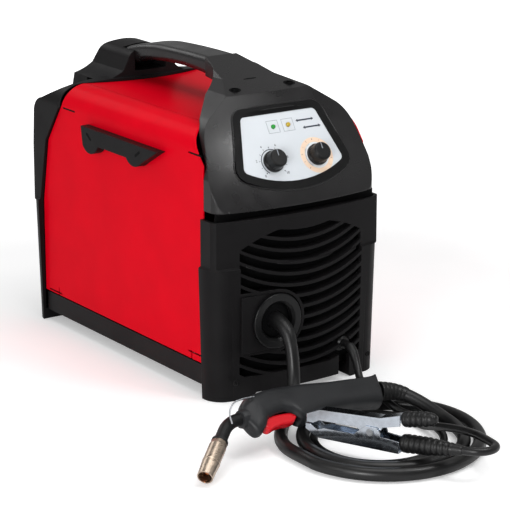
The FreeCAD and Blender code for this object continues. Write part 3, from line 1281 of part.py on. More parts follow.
def on_clamp(item, x=0, y=0, z=0, axis=None, angle=0):
    turn = FreeCAD.Rotation(Vector(*axis), angle) if axis else FreeCAD.Rotation()
    local = FreeCAD.Placement(Vector(x, y, z), turn)
    item.Placement = FreeCAD.Placement(CLAMP_AT, FreeCAD.Rotation(Vector(0, 0, 1), CLAMP_TURN)).multiply(local)
    return item


def channel(label, outline, width, roof, inner):
    """Pressed sheet channel: an outline as wide as the channel, hollowed between its two cheeks."""
    body = new_body(label)
    slab(body, "XZ", [outline], -width / 2, width)
    cut(body, "XZ", [inner], -width / 2 + roof, width - 2 * roof)
    return body


def clamp_lower_jaw():
    body = channel("clamp_lower_jaw", [(0, 14), (0, 8), (14, 0), (112, 0), (112, 13), (90, 15), (84, 24, 9, 1),
                                       (72, 24), (58, 12), (22, 12), (14, 9), (6, 14)], 18, 1.5,
                   [(3, 30), (3, 9), (15, 1.5), (120, 1.5), (120, 30)])
    cut(body, "XZ", [Circle(78, 18, 2.5)], -20, 40)
    return keep("clamp_lower_jaw", on_clamp(body))


def clamp_upper_jaw():
    body = channel("clamp_upper_jaw", [(0, 15), (8, 15), (15, 19), (60, 20), (72, 13), (84, 13, 9, 1), (92, 25),
                                       (112, 30), (112, 42), (88, 35), (16, 31), (0, 24)], 14, 1.5,
                   [(3, 0), (120, 0), (120, 42), (111, 40.5), (88, 33.5), (16.5, 29.5), (3, 23)])
    cut(body, "XZ", [Circle(78, 18, 2.5 + S.running)], -20, 40)
    return keep("clamp_upper_jaw", on_clamp(body))


def clamp_pin():
    pin = new_body("clamp_pin")
    turned(pin, [[(0, -10.5), (4, -10.5), (4, -9), (2.5, -9), (2.5, 9), (4, 9), (4, 10.5), (0, 10.5)]])
    return keep("clamp_pin", on_clamp(pin, 78, 0, 18, (1, 0, 0), 90))


def clamp_spring():
    """Coiled body of the clamp's spring round the pin."""
    spring = new_body("clamp_spring")
    turned(spring, [[(2.8, -5), (4.4, -5), (4.4, 5), (2.8, 5)]])
    return keep("clamp_spring", on_clamp(spring, 78, 0, 18, (1, 0, 0), 90))


BOOT_START, BOOT_HEIGHT, BOOT_TILT, BOOT_LENGTH = 112.9, 9.8, 86, 70


def clamp_boot_lower():
    """Tapered rubber grip over the lower handle, with the cable's way in at its end."""
    boot = new_body("clamp_boot_lower")
    turned(boot, [[(0, 0), (9, 0), (10, 3), (9.5, 30), (7, 55), (5.5, 68), (S.earth_cable + 0.4, BOOT_LENGTH), (0, BOOT_LENGTH)]])
    return keep("clamp_boot_lower", on_clamp(boot, BOOT_START, 0, BOOT_HEIGHT, (0, 1, 0), BOOT_TILT))


def clamp_boot_upper():
    boot = new_body("clamp_boot_upper")
    turned(boot, [[(0, 0), (7.5, 0), (8.5, 3), (8, 26), (6.5, 36), (4, 39, 5, 1), (0, 39)]])
    return keep("clamp_boot_upper", on_clamp(boot, 113.8, 0, 36.5, (0, 1, 0), 80))


# Cables

def pipe(points, radius):
    """Round tube along straight runs joined by tangent arcs; also returns the arcs' radii."""
    edges, radii, last = [], [], points[0]
    for index in range(1, len(points) - 1):
        before, here, after = points[index - 1], points[index], points[index + 1]
        back, forth = before - here, after - here
        turn = math.pi - back.getAngle(forth)
        reach = 0.45 * min(back.Length, forth.Length)
        bend = reach / math.tan(turn / 2)
        back.normalize()
        forth.normalize()
        start, stop = here + back * reach, here + forth * reach
        inward = (back + forth).normalize()
        middle = here + inward * (bend / math.cos(turn / 2) - bend)
        edges += [Part.LineSegment(last, start).toShape(), Part.Arc(start, middle, stop).toShape()]
        radii.append(round(bend, 1))
        last = stop
    edges.append(Part.LineSegment(last, points[-1]).toShape())
    return sweep(edges, radius), radii


def sweep(edges, radius):
    path = Part.Wire(edges)
    start = edges[0].Vertexes[0].Point
    along = edges[0].Vertexes[-1].Point - start
    ring = Part.Wire([Part.makeCircle(radius, start, along)])
    solid = path.makePipeShell([ring], True, False)
    expected = math.pi * radius ** 2 * path.Length
    if abs(solid.Volume - expected) > 0.01 * expected:
        print("tube volume is off:", round(solid.Volume), "expected", round(expected))
    return solid


def cable(node, points, radius):
    item = DOC.addObject("Part::Feature", node)
    item.Shape, radii = pipe([Vector(*point) for point in points], as_size(radius).value)
    print(node, "radii", radii)
    return keep(node, item)


def coil(node, start, radii, turn, lead, radius):
    """Flat loops from quarter turns that shrink steadily; starts and ends with a short straight run.

    `start` is a point on the left or right edge of the coil, where the cable runs along -Y;
    `turn` is +1 for loops that run anticlockwise seen from above and -1 for clockwise ones.
    """
    here, heading = Vector(*start), Vector(0, -1, 0)
    edges = [Part.LineSegment(here - heading * lead, here).toShape()]
    spots = []
    for bend in radii:
        aside = Vector(-heading.y, heading.x, 0) * turn
        centre = here + aside * bend
        slant = (heading - aside).normalize()
        stop = centre + heading * bend
        edges.append(Part.Arc(here, centre + slant * bend, stop).toShape())
        for step in range(30):
            angle = math.radians(3 * step)
            spots.append(centre - aside * (bend * math.cos(angle)) + heading * (bend * math.sin(angle)))
        here, heading = stop, aside
    edges.append(Part.LineSegment(here, here + heading * lead).toShape())
    item = DOC.addObject("Part::Feature", node)
    item.Shape = sweep(edges, radius)
    apart = min([(a - b).Length for i, a in enumerate(spots) for b in spots[i + 60:]])
    print(node, "least gap to itself", round(apart - 2 * radius, 2))
    return keep(node, item)


def torch_point(x, y):
    return FreeCAD.Placement(TORCH_AT, torch_turn()).multVec(Vector(x, y, 0))


def boot_end(beyond=0):
    """Point on the axis of the lower boot, `beyond` millimetres past its end."""
    turn = FreeCAD.Placement(CLAMP_AT, FreeCAD.Rotation(Vector(0, 0, 1), CLAMP_TURN))
    reach, tilt = BOOT_LENGTH + beyond, math.radians(BOOT_TILT)
    return tuple(turn.multVec(Vector(BOOT_START + reach * math.sin(tilt), 0, BOOT_HEIGHT + reach * math.cos(tilt))))


def torch_cable_lead():
    x, z = S.outlet_x.value, S.outlet_z.value
    return cable("torch_cable_lead", [(x, OUTLET_BACK.value - 1, z), (x, -235, z), (x - 0.5, -250, z - 22),
                                      (x - 3, -258, z - 54), (x - 13, -271, 14), (x - 34, -289, 7.5),
                                      (-100, -320, 7.5), (-127, -352, 7.5), (-139, -378, 7.5), (-141.5, -396, 7.5),
                                      (-141.5, -411.5, 7.5)], S.torch_cable)


def torch_cable_coil():
    return coil("torch_cable_coil", (-141.5, -426.5, 7.5), [98, 117.75, 89.5, 109.25, 79], 1, 15, 7.5)


def torch_cable_tail():
    along = TORCH_ALONG
    end = torch_point(169, -21)
    return cable("torch_cable_tail", [(-30.5, -505.5, 7.5), (-18, -505.5, 7.5), (3, -497, 7.5), (25, -482, 7.5),
                                      (42, -460, 7.5), (52, -434, 8), (54, -406, 11), (50, -376, 19), (38, -354, 27),
                                      tuple(end + along * 14), tuple(end)], S.torch_cable)


def earth_cable_lead():
    x, z = S.notch_x.value, EARTH_Z.value
    return cable("earth_cable_lead", [(x, OUTLET_BACK.value - 8, z), (x, -229, z), (x - 1, -240, z - 15),
                                      (x - 6, -254, z - 32), (x - 16, -276, 6), (x - 29, -295, 15), (24, -314, 22.5),
                                      (24, -333, 22), (28, -347, 12.5), (34, -359, 6), (39, -375, 4.5),
                                      (39, -391, 4.5)], S.earth_cable)


def earth_cable_coil():
    return coil("earth_cable_coil", (39, -400, 4.5), [84, 65, 85, 54], -1, 9, 4.5)


def earth_cable_tail():
    return cable("earth_cable_tail", [(29, -397, 4.5), (29, -405, 4.5), (27, -418, 8), (24, -434, 13.5),
                                      (23, -456, 19), (24, -480, 23), (22, -505, 26.5), (15, -529, 29.5),
                                      (8.2, -551.5, 32), (2.4, -561, 33), (-7.4, -566.2, 33.6),
                                      (-18.5, -565.6, 34), boot_end(12), boot_end()], S.earth_cable)


# Building, checking and writing the sub-parts

BUILDERS = [
    base_tray, front_moulding, outlet_plate, outlet_collar, console_hood, carry_handle, rear_moulding,
    cover_shell, side_door, hinge_pin_front, hinge_pin_rear, latch_grip,
    control_panel, knob_left, knob_right, led_power, led_alarm, control_board,
    centre_partition, wire_spool, welding_wire, spool_hub, spool_retainer,
    feed_plate, feed_motor, drive_roll, pressure_arm, pressure_roll, tension_knob, wire_strand, torch_adapter,
    power_board, heatsink, transformer, fan_frame, fan_rotor, switch_frame, power_switch, mains_gland, gas_inlet,
    torch_cable_lead, torch_cable_coil, torch_cable_tail, torch_handle_left, torch_handle_right, torch_trigger,
    swan_neck, gas_nozzle, contact_tip, torch_hook,
    earth_gland, earth_cable_lead, earth_cable_coil, earth_cable_tail,
    clamp_lower_jaw, clamp_upper_jaw, clamp_pin, clamp_spring, clamp_boot_lower, clamp_boot_upper,
]


def check_all():
    """Stop if an object failed to rebuild or a sub-part is not one sound solid."""
    failed = [item.Name for item in DOC.Objects
              if "Invalid" in item.State or "Error" in item.State]
    for node, item in NODES.items():
        shape = item.Shape
        if shape.isNull() or not shape.isValid() or len(shape.Solids) != 1:
            failed.append(node)
    if failed:
        raise RuntimeError("failed: " + ", ".join(failed))


def write_all():
    os.makedirs("parts", exist_ok=True)
    for node, item in NODES.items():
        item.Shape.exportStep(os.path.join("parts", node + ".step"))


def main():
    for builder in BUILDERS:
        builder()
    DOC.recompute()
    check_all()
    write_all()
    print("sub-parts:", len(NODES))


main()
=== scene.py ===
"""Looks of a portable wire welding machine, built round its packed construction model.

The housing, its inner parts, the torch's neck and nozzle and the earth clamp's jaws keep the shapes of the
construction model and get their finishes here. The torch's handle and trigger, the clamp's grips, the
cables, their sleeves, printed scales, borders, screws and fittings are surfaces of their own. Lengths in
this file are in millimetres unless a comment says otherwise, and become metres as a mesh is made.
"""
from __future__ import annotations

import logging
import math
from dataclasses import dataclass
from enum import Enum
from functools import cached_property

import bmesh
import bpy
import numpy as np
from mathutils import Matrix, Vector
from mathutils.bvhtree import BVHTree

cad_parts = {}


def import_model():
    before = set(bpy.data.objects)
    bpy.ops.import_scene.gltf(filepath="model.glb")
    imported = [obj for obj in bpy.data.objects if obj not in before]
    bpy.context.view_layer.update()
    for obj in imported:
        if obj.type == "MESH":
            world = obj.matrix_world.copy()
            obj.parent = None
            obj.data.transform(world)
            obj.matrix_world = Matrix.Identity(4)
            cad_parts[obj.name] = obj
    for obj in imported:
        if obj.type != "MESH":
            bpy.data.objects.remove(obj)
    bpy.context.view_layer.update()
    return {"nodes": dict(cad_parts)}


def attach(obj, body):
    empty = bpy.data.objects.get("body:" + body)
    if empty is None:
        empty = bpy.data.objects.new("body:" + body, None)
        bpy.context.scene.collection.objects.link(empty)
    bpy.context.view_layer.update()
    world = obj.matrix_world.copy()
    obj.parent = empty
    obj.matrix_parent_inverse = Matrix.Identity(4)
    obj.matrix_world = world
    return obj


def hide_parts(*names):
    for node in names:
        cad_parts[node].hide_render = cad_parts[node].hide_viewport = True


MM = 0.001
FULL_TURN = 2 * math.pi
log = logging.getLogger("welder")

Point = tuple[float, float, float]
Colour = tuple[int, int, int]
Outline = list[tuple[float, float]]
Line = tuple[tuple[float, float], ...]


# Frames and meshes

@dataclass(frozen=True)
class Place:
    """An origin and three directions in the model's frame, in millimetres."""

    origin: Point
    right: Point = (1.0, 0.0, 0.0)
    up: Point = (0.0, 1.0, 0.0)
    out: Point = (0.0, 0.0, 1.0)

    def world(self, local: np.ndarray) -> np.ndarray:
        """The origin plus each local value times its direction, in metres."""
        axes = np.array([self.right, self.up, self.out], float)
        return (np.asarray(local, float) @ axes + np.array(self.origin, float)) * MM

    def at(self, x: float, y: float, z: float = 0.0) -> "Place":
        """The same directions from another local point."""
        moved = self.world(np.array([x, y, z])) / MM
        return Place(tuple(moved), self.right, self.up, self.out)


def unit(vector: np.ndarray) -> np.ndarray:
    """Vectors divided by their own lengths along the last axis."""
    vector = np.asarray(vector, float)
    return vector / np.linalg.norm(vector, axis=-1, keepdims=True)


def grid_faces(rows: int, columns: int, wrap_rows: bool) -> np.ndarray:
    """Quads between neighbouring rows of a grid of points whose rows are closed rings.

    Args:
        rows: number of rows.
        columns: number of points in a row.
        wrap_rows: whether the last row joins the first.

    Returns:
        One row of four indices for each quad.
    """
    i = np.arange(rows if wrap_rows else rows - 1)[:, None]
    j = np.arange(columns)[None, :]
    below, beside = (i + 1) % rows, (j + 1) % columns
    corners = [i * columns + j, i * columns + beside, below * columns + beside, below * columns + j]
    return np.stack(corners, -1).reshape(-1, 4)


def new_piece(name: str, points: np.ndarray, faces: list, crease_deg: float = 40.0) -> bpy.types.Object:
    """Make a closed mesh piece with its doubles merged and its faces outwards.

    Args:
        name: the piece's name.
        points: corners in metres, one row each.
        faces: lists of corner indices.
        crease_deg: edges that turn by more than this stay sharp.

    Returns:
        The new object, at the origin.
    """
    mesh = bpy.data.meshes.new(name)
    corners = np.asarray(points).reshape(-1, 3).tolist()
    mesh.from_pydata(corners, [], [list(map(int, face)) for face in faces])
    work = bmesh.new()
    work.from_mesh(mesh)
    bmesh.ops.remove_doubles(work, verts=work.verts, dist=1e-6)
    bmesh.ops.recalc_face_normals(work, faces=work.faces)
    work.to_mesh(mesh)
    work.free()
    mesh.shade_smooth()
    mesh.set_sharp_from_angle(angle=math.radians(crease_deg))
    piece = bpy.data.objects.new(name, mesh)
    bpy.context.scene.collection.objects.link(piece)
    return piece


def surface(name: str, grid: np.ndarray, wrap_rows: bool = False,
            crease_deg: float = 40.0) -> bpy.types.Object:
    """Make a piece from a grid of points whose rows are closed rings, with its open ends closed.

    Args:
        name: the piece's name.
        grid: points in metres, rows by columns by three.
        wrap_rows: whether the last row joins the first. Otherwise each of the two gets one face.
        crease_deg: edges that turn by more than this stay sharp.

    Returns:
        The new object.
    """
    rows, columns = grid.shape[:2]
    faces = grid_faces(rows, columns, wrap_rows).tolist()
    if not wrap_rows:
        faces.append(list(range(columns)))
        faces.append(list(range((rows - 1) * columns, rows * columns)))
    return new_piece(name, grid, faces, crease_deg)


def around(sides: int) -> np.ndarray:
    """Evenly spaced angles of a full turn, in radians."""
    return np.linspace(0, FULL_TURN, sides, endpoint=False)


def lathe(name: str, place: Place, profile: Outline, sides: int = 32) -> bpy.types.Object:
    """Turn a profile round a place's outward axis.

    A point is radius times cosine along right, radius times sine along up, and its height along out.

    Args:
        name: the piece's name.
        place: where the profile's axis stands.
        profile: pairs of radius and height.
        sides: points round the axis.

    Returns:
        The new object.
    """
    radius, height = np.array(profile, float).T[..., None]
    angle = around(sides)
    local = [radius * np.cos(angle), radius * np.sin(angle), np.repeat(height, sides, 1)]
    return surface(name, place.world(np.stack(local, -1)))


def plate(name: str, place: Place, outline: Outline, low: float, high: float) -> bpy.types.Object:
    """Make a flat prism: an outline repeated at two heights, with a face on each and a wall between.

    Args:
        name: the piece's name.
        place: where the outline's origin stands.
        outline: its corners in order, along right and up.
        low: height of its back.
        high: height of its face.

    Returns:
        The new object.
    """
    flat = np.array(outline, float)
    rings = [np.column_stack([flat, np.full(len(flat), height)]) for height in (low, high)]
    return surface(name, place.world(np.stack(rings)))


def rounded_bar(length: float, width: float, tilt_deg: float = 0.0, steps: int = 8) -> Outline:
    """Outline of a bar with half-round ends: two half circles of the half width, a bar's length apart.

    Args:
        length: overall length.
        width: overall width.
        tilt_deg: how far it is turned anticlockwise.
        steps: points in a half circle.

    Returns:
        Its corners in order.
    """
    half = np.linspace(-math.pi / 2, math.pi / 2, steps)
    reach = (length - width) / 2
    right = np.column_stack([reach + width / 2 * np.cos(half), width / 2 * np.sin(half)])
    loop = np.vstack([right, -right])
    c, s = math.cos(math.radians(tilt_deg)), math.sin(math.radians(tilt_deg))
    return (loop @ np.array([[c, s], [-s, c]])).tolist()


def ring_sector(inner: float, outer: float, start_deg: float, stop_deg: float, steps: int) -> Outline:
    """Outline of a ring's sector: the outer arc forwards and the inner arc back.

    Args:
        inner: inner radius.
        outer: outer radius.
        start_deg: where the sector starts, 0 to the right and anticlockwise from there.
        stop_deg: where it stops.
        steps: points in each arc.

    Returns:
        Its corners in order.
    """
    angle = np.radians(np.linspace(start_deg, stop_deg, steps))
    arc = np.column_stack([np.cos(angle), np.sin(angle)])
    return np.vstack([outer * arc, inner * arc[::-1]]).tolist()


def tube_along(name: str, line: np.ndarray, radius: np.ndarray, flat: Point,
               sides: int = 28) -> bpy.types.Object:
    """Carry a circle along a line.

    Each ring stands square to the line: its first direction is the tangent times `flat`, its second the
    tangent times the first, and a point is the radius times cosine and sine along the two.

    Args:
        name: the piece's name.
        line: points in metres.
        radius: one radius in metres for each point.
        flat: a direction that the line never runs along.
        sides: points in a ring.

    Returns:
        The new object, closed at both ends.
    """
    tangent = unit(np.gradient(line, axis=0))
    first = unit(np.cross(tangent, np.array(flat, float)))
    second = np.cross(tangent, first)
    angle = around(sides)[None, :, None]
    ring = np.cos(angle) * first[:, None] + np.sin(angle) * second[:, None]
    return surface(name, line[:, None] + np.asarray(radius)[:, None, None] * ring)


# Shader node groups and finishes

class Relief(Enum):
    """Kinds of fine detail that a surface can have."""

    SPARK = "fine pitted grain of moulded plastic"
    PAINT = "soft ripple of baked powder paint"
    BRUSHED = "lines of rolled or drawn metal"
    CAST = "lumpy skin of cast or lacquered parts"
    WOUND = "turns of wire side by side"
    RUBBER = "smooth rubber with a faint bloom"


def linear(colour: Colour) -> tuple[float, float, float, float]:
    """A screen colour as linear light, by the screen's own curve.

    Args:
        colour: red, green and blue from 0 to 255.

    Returns:
        Red, green and blue from 0 to 1, and 1 for solid.
    """
    share = np.array(colour, float) / 255
    light = np.where(share <= 0.04045, share / 12.92, ((share + 0.055) / 1.055) ** 2.4)
    return tuple(float(x) for x in light) + (1.0,)


class Graph:
    """Short calls for building a node tree."""

    def __init__(self, tree: bpy.types.NodeTree) -> None:
        """Keep the tree."""
        self.tree = tree

    def add(self, kind: str, inputs: dict | None = None, **settings: object) -> bpy.types.Node:
        """Add a node.

        Args:
            kind: Blender's name for it.
            inputs: values or sockets for its inputs, by name or number.
            settings: its other properties.

        Returns:
            The new node.
        """
        node = self.tree.nodes.new(kind)
        for name, value in settings.items():
            setattr(node, name, value)
        for key, value in (inputs or {}).items():
            if isinstance(value, bpy.types.NodeSocket):
                self.tree.links.new(value, node.inputs[key])
            else:
                node.inputs[key].default_value = value
        return node

    def maths(self, operation: str, *values: object) -> bpy.types.NodeSocket:
        """The result of one sum on one or two values or sockets."""
        return self.add("ShaderNodeMath", dict(enumerate(values)), operation=operation).outputs[0]

    def mapped(self, value: bpy.types.NodeSocket, low: float, high: float, to_low: float,
               to_high: float) -> bpy.types.NodeSocket:
        """A value carried from one range to another and kept inside it."""
        return self.add("ShaderNodeMapRange", {0: value, 1: low, 2: high, 3: to_low, 4: to_high}).outputs[0]

    def blend(self, share: bpy.types.NodeSocket, first: object, second: object) -> bpy.types.NodeSocket:
        """The first colour where the share is 0 and the second where it is 1."""
        node = self.add("ShaderNodeMix", {0: share, 6: first, 7: second}, data_type="RGBA")
        return node.outputs[2]

    def noise(self, vector: bpy.types.NodeSocket, scale: object, detail: float) -> bpy.types.NodeSocket:
        """Cloudy noise at a scale, as a value."""
        inputs = {"Vector": vector, "Scale": scale, "Detail": detail}
        return self.add("ShaderNodeTexNoise", inputs).outputs[0]

    def spot(self) -> bpy.types.NodeSocket:
        """Each point's place on the object, in metres."""
        return self.add("ShaderNodeTexCoord").outputs["Object"]


def new_group(name: str, inputs: tuple[str, ...], outputs: tuple[str, ...],
              vectors: tuple[str, ...] = ()) -> tuple[bpy.types.NodeTree, Graph, dict, dict]:
    """Start a shader node group.

    Args:
        name: the group's name.
        inputs: names of its values in.
        outputs: names of its values out.
        vectors: names of its vectors out.

    Returns:
        The tree, its graph, its input sockets and its output sockets by name.
    """
    tree = bpy.data.node_groups.new(name, "ShaderNodeTree")
    for label in inputs:
        tree.interface.new_socket(label, in_out="INPUT", socket_type="NodeSocketFloat")
    for label in outputs:
        tree.interface.new_socket(label, in_out="OUTPUT", socket_type="NodeSocketFloat")
    for label in vectors:
        tree.interface.new_socket(label, in_out="OUTPUT", socket_type="NodeSocketVector")
    start, stop = tree.nodes.new("NodeGroupInput"), tree.nodes.new("NodeGroupOutput")
    return (tree, Graph(tree), {label: start.outputs[label] for label in inputs},
            {label: stop.inputs[label] for label in [*outputs, *vectors]})


@dataclass(frozen=True)
class ReliefGroups:
    """Builds the node groups for fine relief, soft edges and dust, each of them once.

    Args:
        tone_share: scale of the tone's slow patches, as a share of the relief's own.
        paint_share: scale of powder paint's ripple, likewise.
        cast_share: scale of a cast skin's lumps, likewise.
        drawn_share: scale of the tone of drawn metal, likewise.
        drawn: how much drawn metal's lines are stretched along X.
        wobble: how far turns of wire stray from straight.
        edge_agreement: how well the rounded and the plain normal agree where an edge starts and where it is
            full.
        rub: scale of the noise that breaks up rubbed edges, and its range.
        cloud: scale of the noise that breaks up dust, and its range.
        settle: height in metres up to which dust thins out, and what is left of it above.
        upright: upward share of the normal where dust starts to gather, and what lies on a wall.
    """

    tone_share: float = 0.02
    paint_share: float = 0.25
    cast_share: float = 0.5
    drawn_share: float = 0.3
    drawn: Point = (0.04, 1.0, 1.0)
    wobble: float = 0.6
    edge_agreement: tuple[float, float] = (0.98, 0.86)
    rub: Point = (220.0, 0.4, 0.65)
    cloud: Point = (60.0, 0.35, 0.75)
    settle: tuple[float, float] = (0.05, 0.15)
    upright: tuple[float, float] = (0.2, 0.3)

    def relief(self, kind: Relief) -> bpy.types.NodeTree:
        """The group of one kind of relief, with a height and a tone that change over the surface.

        Args:
            kind: the kind of fine detail.

        Returns:
            The group.
        """
        name = "relief_" + kind.name.lower()
        if name in bpy.data.node_groups:
            return bpy.data.node_groups[name]
        tree, graph, given, wanted = new_group(name, ("Scale",), ("Height", "Tone"))
        spot, scale = graph.spot(), given["Scale"]
        tone = graph.noise(spot, graph.maths("MULTIPLY", scale, self.tone_share), 3.0)
        if kind is Relief.SPARK:
            cells = graph.add("ShaderNodeTexVoronoi", {"Vector": spot, "Scale": scale}).outputs["Distance"]
            height = graph.maths("MULTIPLY", cells, graph.noise(spot, scale, 2.0))
        elif kind is Relief.PAINT:
            height = graph.noise(spot, graph.maths("MULTIPLY", scale, self.paint_share), 1.0)
        elif kind is Relief.BRUSHED:
            drawn = graph.add("ShaderNodeMapping", {"Vector": spot, "Scale": self.drawn}).outputs[0]
            height = graph.noise(drawn, scale, 3.0)
            tone = graph.noise(drawn, graph.maths("MULTIPLY", scale, self.drawn_share), 4.0)
        elif kind is Relief.WOUND:
            inputs = {"Vector": spot, "Scale": scale, "Distortion": self.wobble}
            height = tone = graph.add("ShaderNodeTexWave", inputs, bands_direction="X").outputs["Fac"]
        elif kind is Relief.CAST:
            height = graph.noise(spot, graph.maths("MULTIPLY", scale, self.cast_share), 4.0)
        else:
            height = graph.noise(spot, scale, 1.5)
        tree.links.new(height, wanted["Height"])
        tree.links.new(tone, wanted["Tone"])
        return tree

    def soft_edge(self) -> bpy.types.NodeTree:
        """The group that rounds the light on edges and finds where they are rubbed.

        The rounded normal comes from the Bevel node. An edge is where it differs from the surface's own
        normal, and the wear there is broken up by noise.

        Returns:
            The group.
        """
        if "soft_edge" in bpy.data.node_groups:
            return bpy.data.node_groups["soft_edge"]
        tree, graph, given, wanted = new_group("soft_edge", ("Radius", "Amount"), ("Mask",), ("Normal",))
        rounded = graph.add("ShaderNodeBevel", {"Radius": given["Radius"]}, samples=4).outputs[0]
        plain = graph.add("ShaderNodeNewGeometry").outputs["Normal"]
        both = graph.add("ShaderNodeVectorMath", {0: rounded, 1: plain}, operation="DOT_PRODUCT")
        edge = graph.mapped(both.outputs["Value"], *self.edge_agreement, 0.0, 1.0)
        scale, low, high = self.rub
        broken = graph.mapped(graph.noise(graph.spot(), scale, 4.0), low, high, 0.0, 1.0)
        share = graph.maths("MULTIPLY", edge, broken)
        tree.links.new(graph.maths("MULTIPLY", share, given["Amount"]), wanted["Mask"])
        tree.links.new(rounded, wanted["Normal"])
        return tree

    def dust(self) -> bpy.types.NodeTree:
        """The group that finds settled dust: low places and upward faces, broken up by noise.

        Returns:
            The group.
        """
        if "settled_dust" in bpy.data.node_groups:
            return bpy.data.node_groups["settled_dust"]
        tree, graph, given, wanted = new_group("settled_dust", ("Amount",), ("Mask",))
        spot = graph.spot()
        height = graph.add("ShaderNodeSeparateXYZ", {0: spot}).outputs[2]
        low = graph.mapped(height, 0.0, self.settle[0], 1.0, self.settle[1])
        normal = graph.add("ShaderNodeNewGeometry").outputs["Normal"]
        facing = graph.add("ShaderNodeSeparateXYZ", {0: normal}).outputs[2]
        upward = graph.mapped(facing, self.upright[0], 1.0, self.upright[1], 1.0)
        scale, least, most = self.cloud
        cloudy = graph.mapped(graph.noise(spot, scale, 5.0), least, most, 0.0, 1.0)
        share = graph.maths("MULTIPLY", graph.maths("MULTIPLY", low, upward), cloudy)
        tree.links.new(graph.maths("MULTIPLY", share, given["Amount"]), wanted["Mask"])
        return tree


@dataclass(frozen=True)
class Finish:
    """One surface finish: its colour, how it shines, and its fine detail.

    Args:
        name: what the finish is called.
        colour: screen colour from 0 to 255.
        relief: the kind of fine detail.
        scale: how many grains, ripples or turns in a metre.
        depth: depth of the relief.
        rough: roughness at the middle of its range.
        spread: how far roughness and tone stray from the middle.
        metal: 1 for a metal.
        shine: specular level of what isn't metal.
        coat: strength of a clear coat.
        coat_rough: roughness of that coat.
        worn: screen colour of rubbed edges.
        wear: strength of the wear on edges.
        dust: strength of the dust.
        clear: share of light that passes through.
        edge: radius of the soft edge that catches the light.
        mottle: how much more than the roughness the colour strays.
        tone_range: the tones that give its darkest and its lightest places.
        dust_colour: screen colour of the dust.
    """

    name: str
    colour: Colour
    relief: Relief
    scale: float
    depth: float
    rough: float
    spread: float = 0.06
    metal: float = 0.0
    shine: float = 0.3
    coat: float = 0.0
    coat_rough: float = 0.1
    worn: Colour = (120, 120, 122)
    wear: float = 0.15
    dust: float = 0.06
    clear: float = 0.0
    edge: float = 0.0
    mottle: float = 2.2
    tone_range: tuple[float, float] = (0.3, 0.7)
    dust_colour: Colour = (150, 146, 140)

    def material(self) -> bpy.types.Material:
        """The finish's material, built the first time it is asked for.

        Returns:
            The material, whose name starts with "finish_" so that it can't be one of the record's.
        """
        label = "finish_" + self.name
        if label in bpy.data.materials:
            return bpy.data.materials[label]
        material = bpy.data.materials.new(label)
        material.use_nodes = True
        tree = material.node_tree
        tree.nodes.clear()
        graph, groups = Graph(tree), ReliefGroups()
        detail = graph.add("ShaderNodeGroup", node_tree=groups.relief(self.relief))
        detail.inputs["Scale"].default_value = self.scale
        grime = graph.add("ShaderNodeGroup", node_tree=groups.dust())
        grime.inputs["Amount"].default_value = self.dust
        tone, base = detail.outputs["Tone"], linear(self.colour)
        darker = tuple(x * (1 - self.mottle * self.spread) for x in base[:3]) + (1.0,)
        lighter = tuple(min(1.0, x * (1 + self.mottle * self.spread)) for x in base[:3]) + (1.0,)
        mottled = graph.blend(graph.mapped(tone, *self.tone_range, 0.0, 1.0), darker, lighter)
        bump = graph.add("ShaderNodeBump", {"Height": detail.outputs["Height"], "Distance": self.depth * MM,
                                            "Strength": 1.0})
        if self.edge:
            soft = graph.add("ShaderNodeGroup", node_tree=groups.soft_edge())
            soft.inputs["Radius"].default_value = self.edge * MM
            soft.inputs["Amount"].default_value = self.wear
            mottled = graph.blend(soft.outputs["Mask"], mottled, linear(self.worn))
            tree.links.new(soft.outputs["Normal"], bump.inputs["Normal"])
        dusty = graph.blend(grime.outputs["Mask"], mottled, linear(self.dust_colour))
        smoothest, roughest = max(0.02, self.rough - self.spread), self.rough + self.spread
        rough = graph.mapped(tone, *self.tone_range, smoothest, roughest)
        shader = graph.add("ShaderNodeBsdfPrincipled", {
            "Base Color": dusty, "Roughness": rough, "Normal": bump.outputs[0], "Metallic": self.metal,
            "Specular IOR Level": self.shine, "Coat Weight": self.coat, "Coat Roughness": self.coat_rough,
            "Transmission Weight": self.clear})
        graph.add("ShaderNodeOutputMaterial", {"Surface": shader.outputs[0]})
        return material


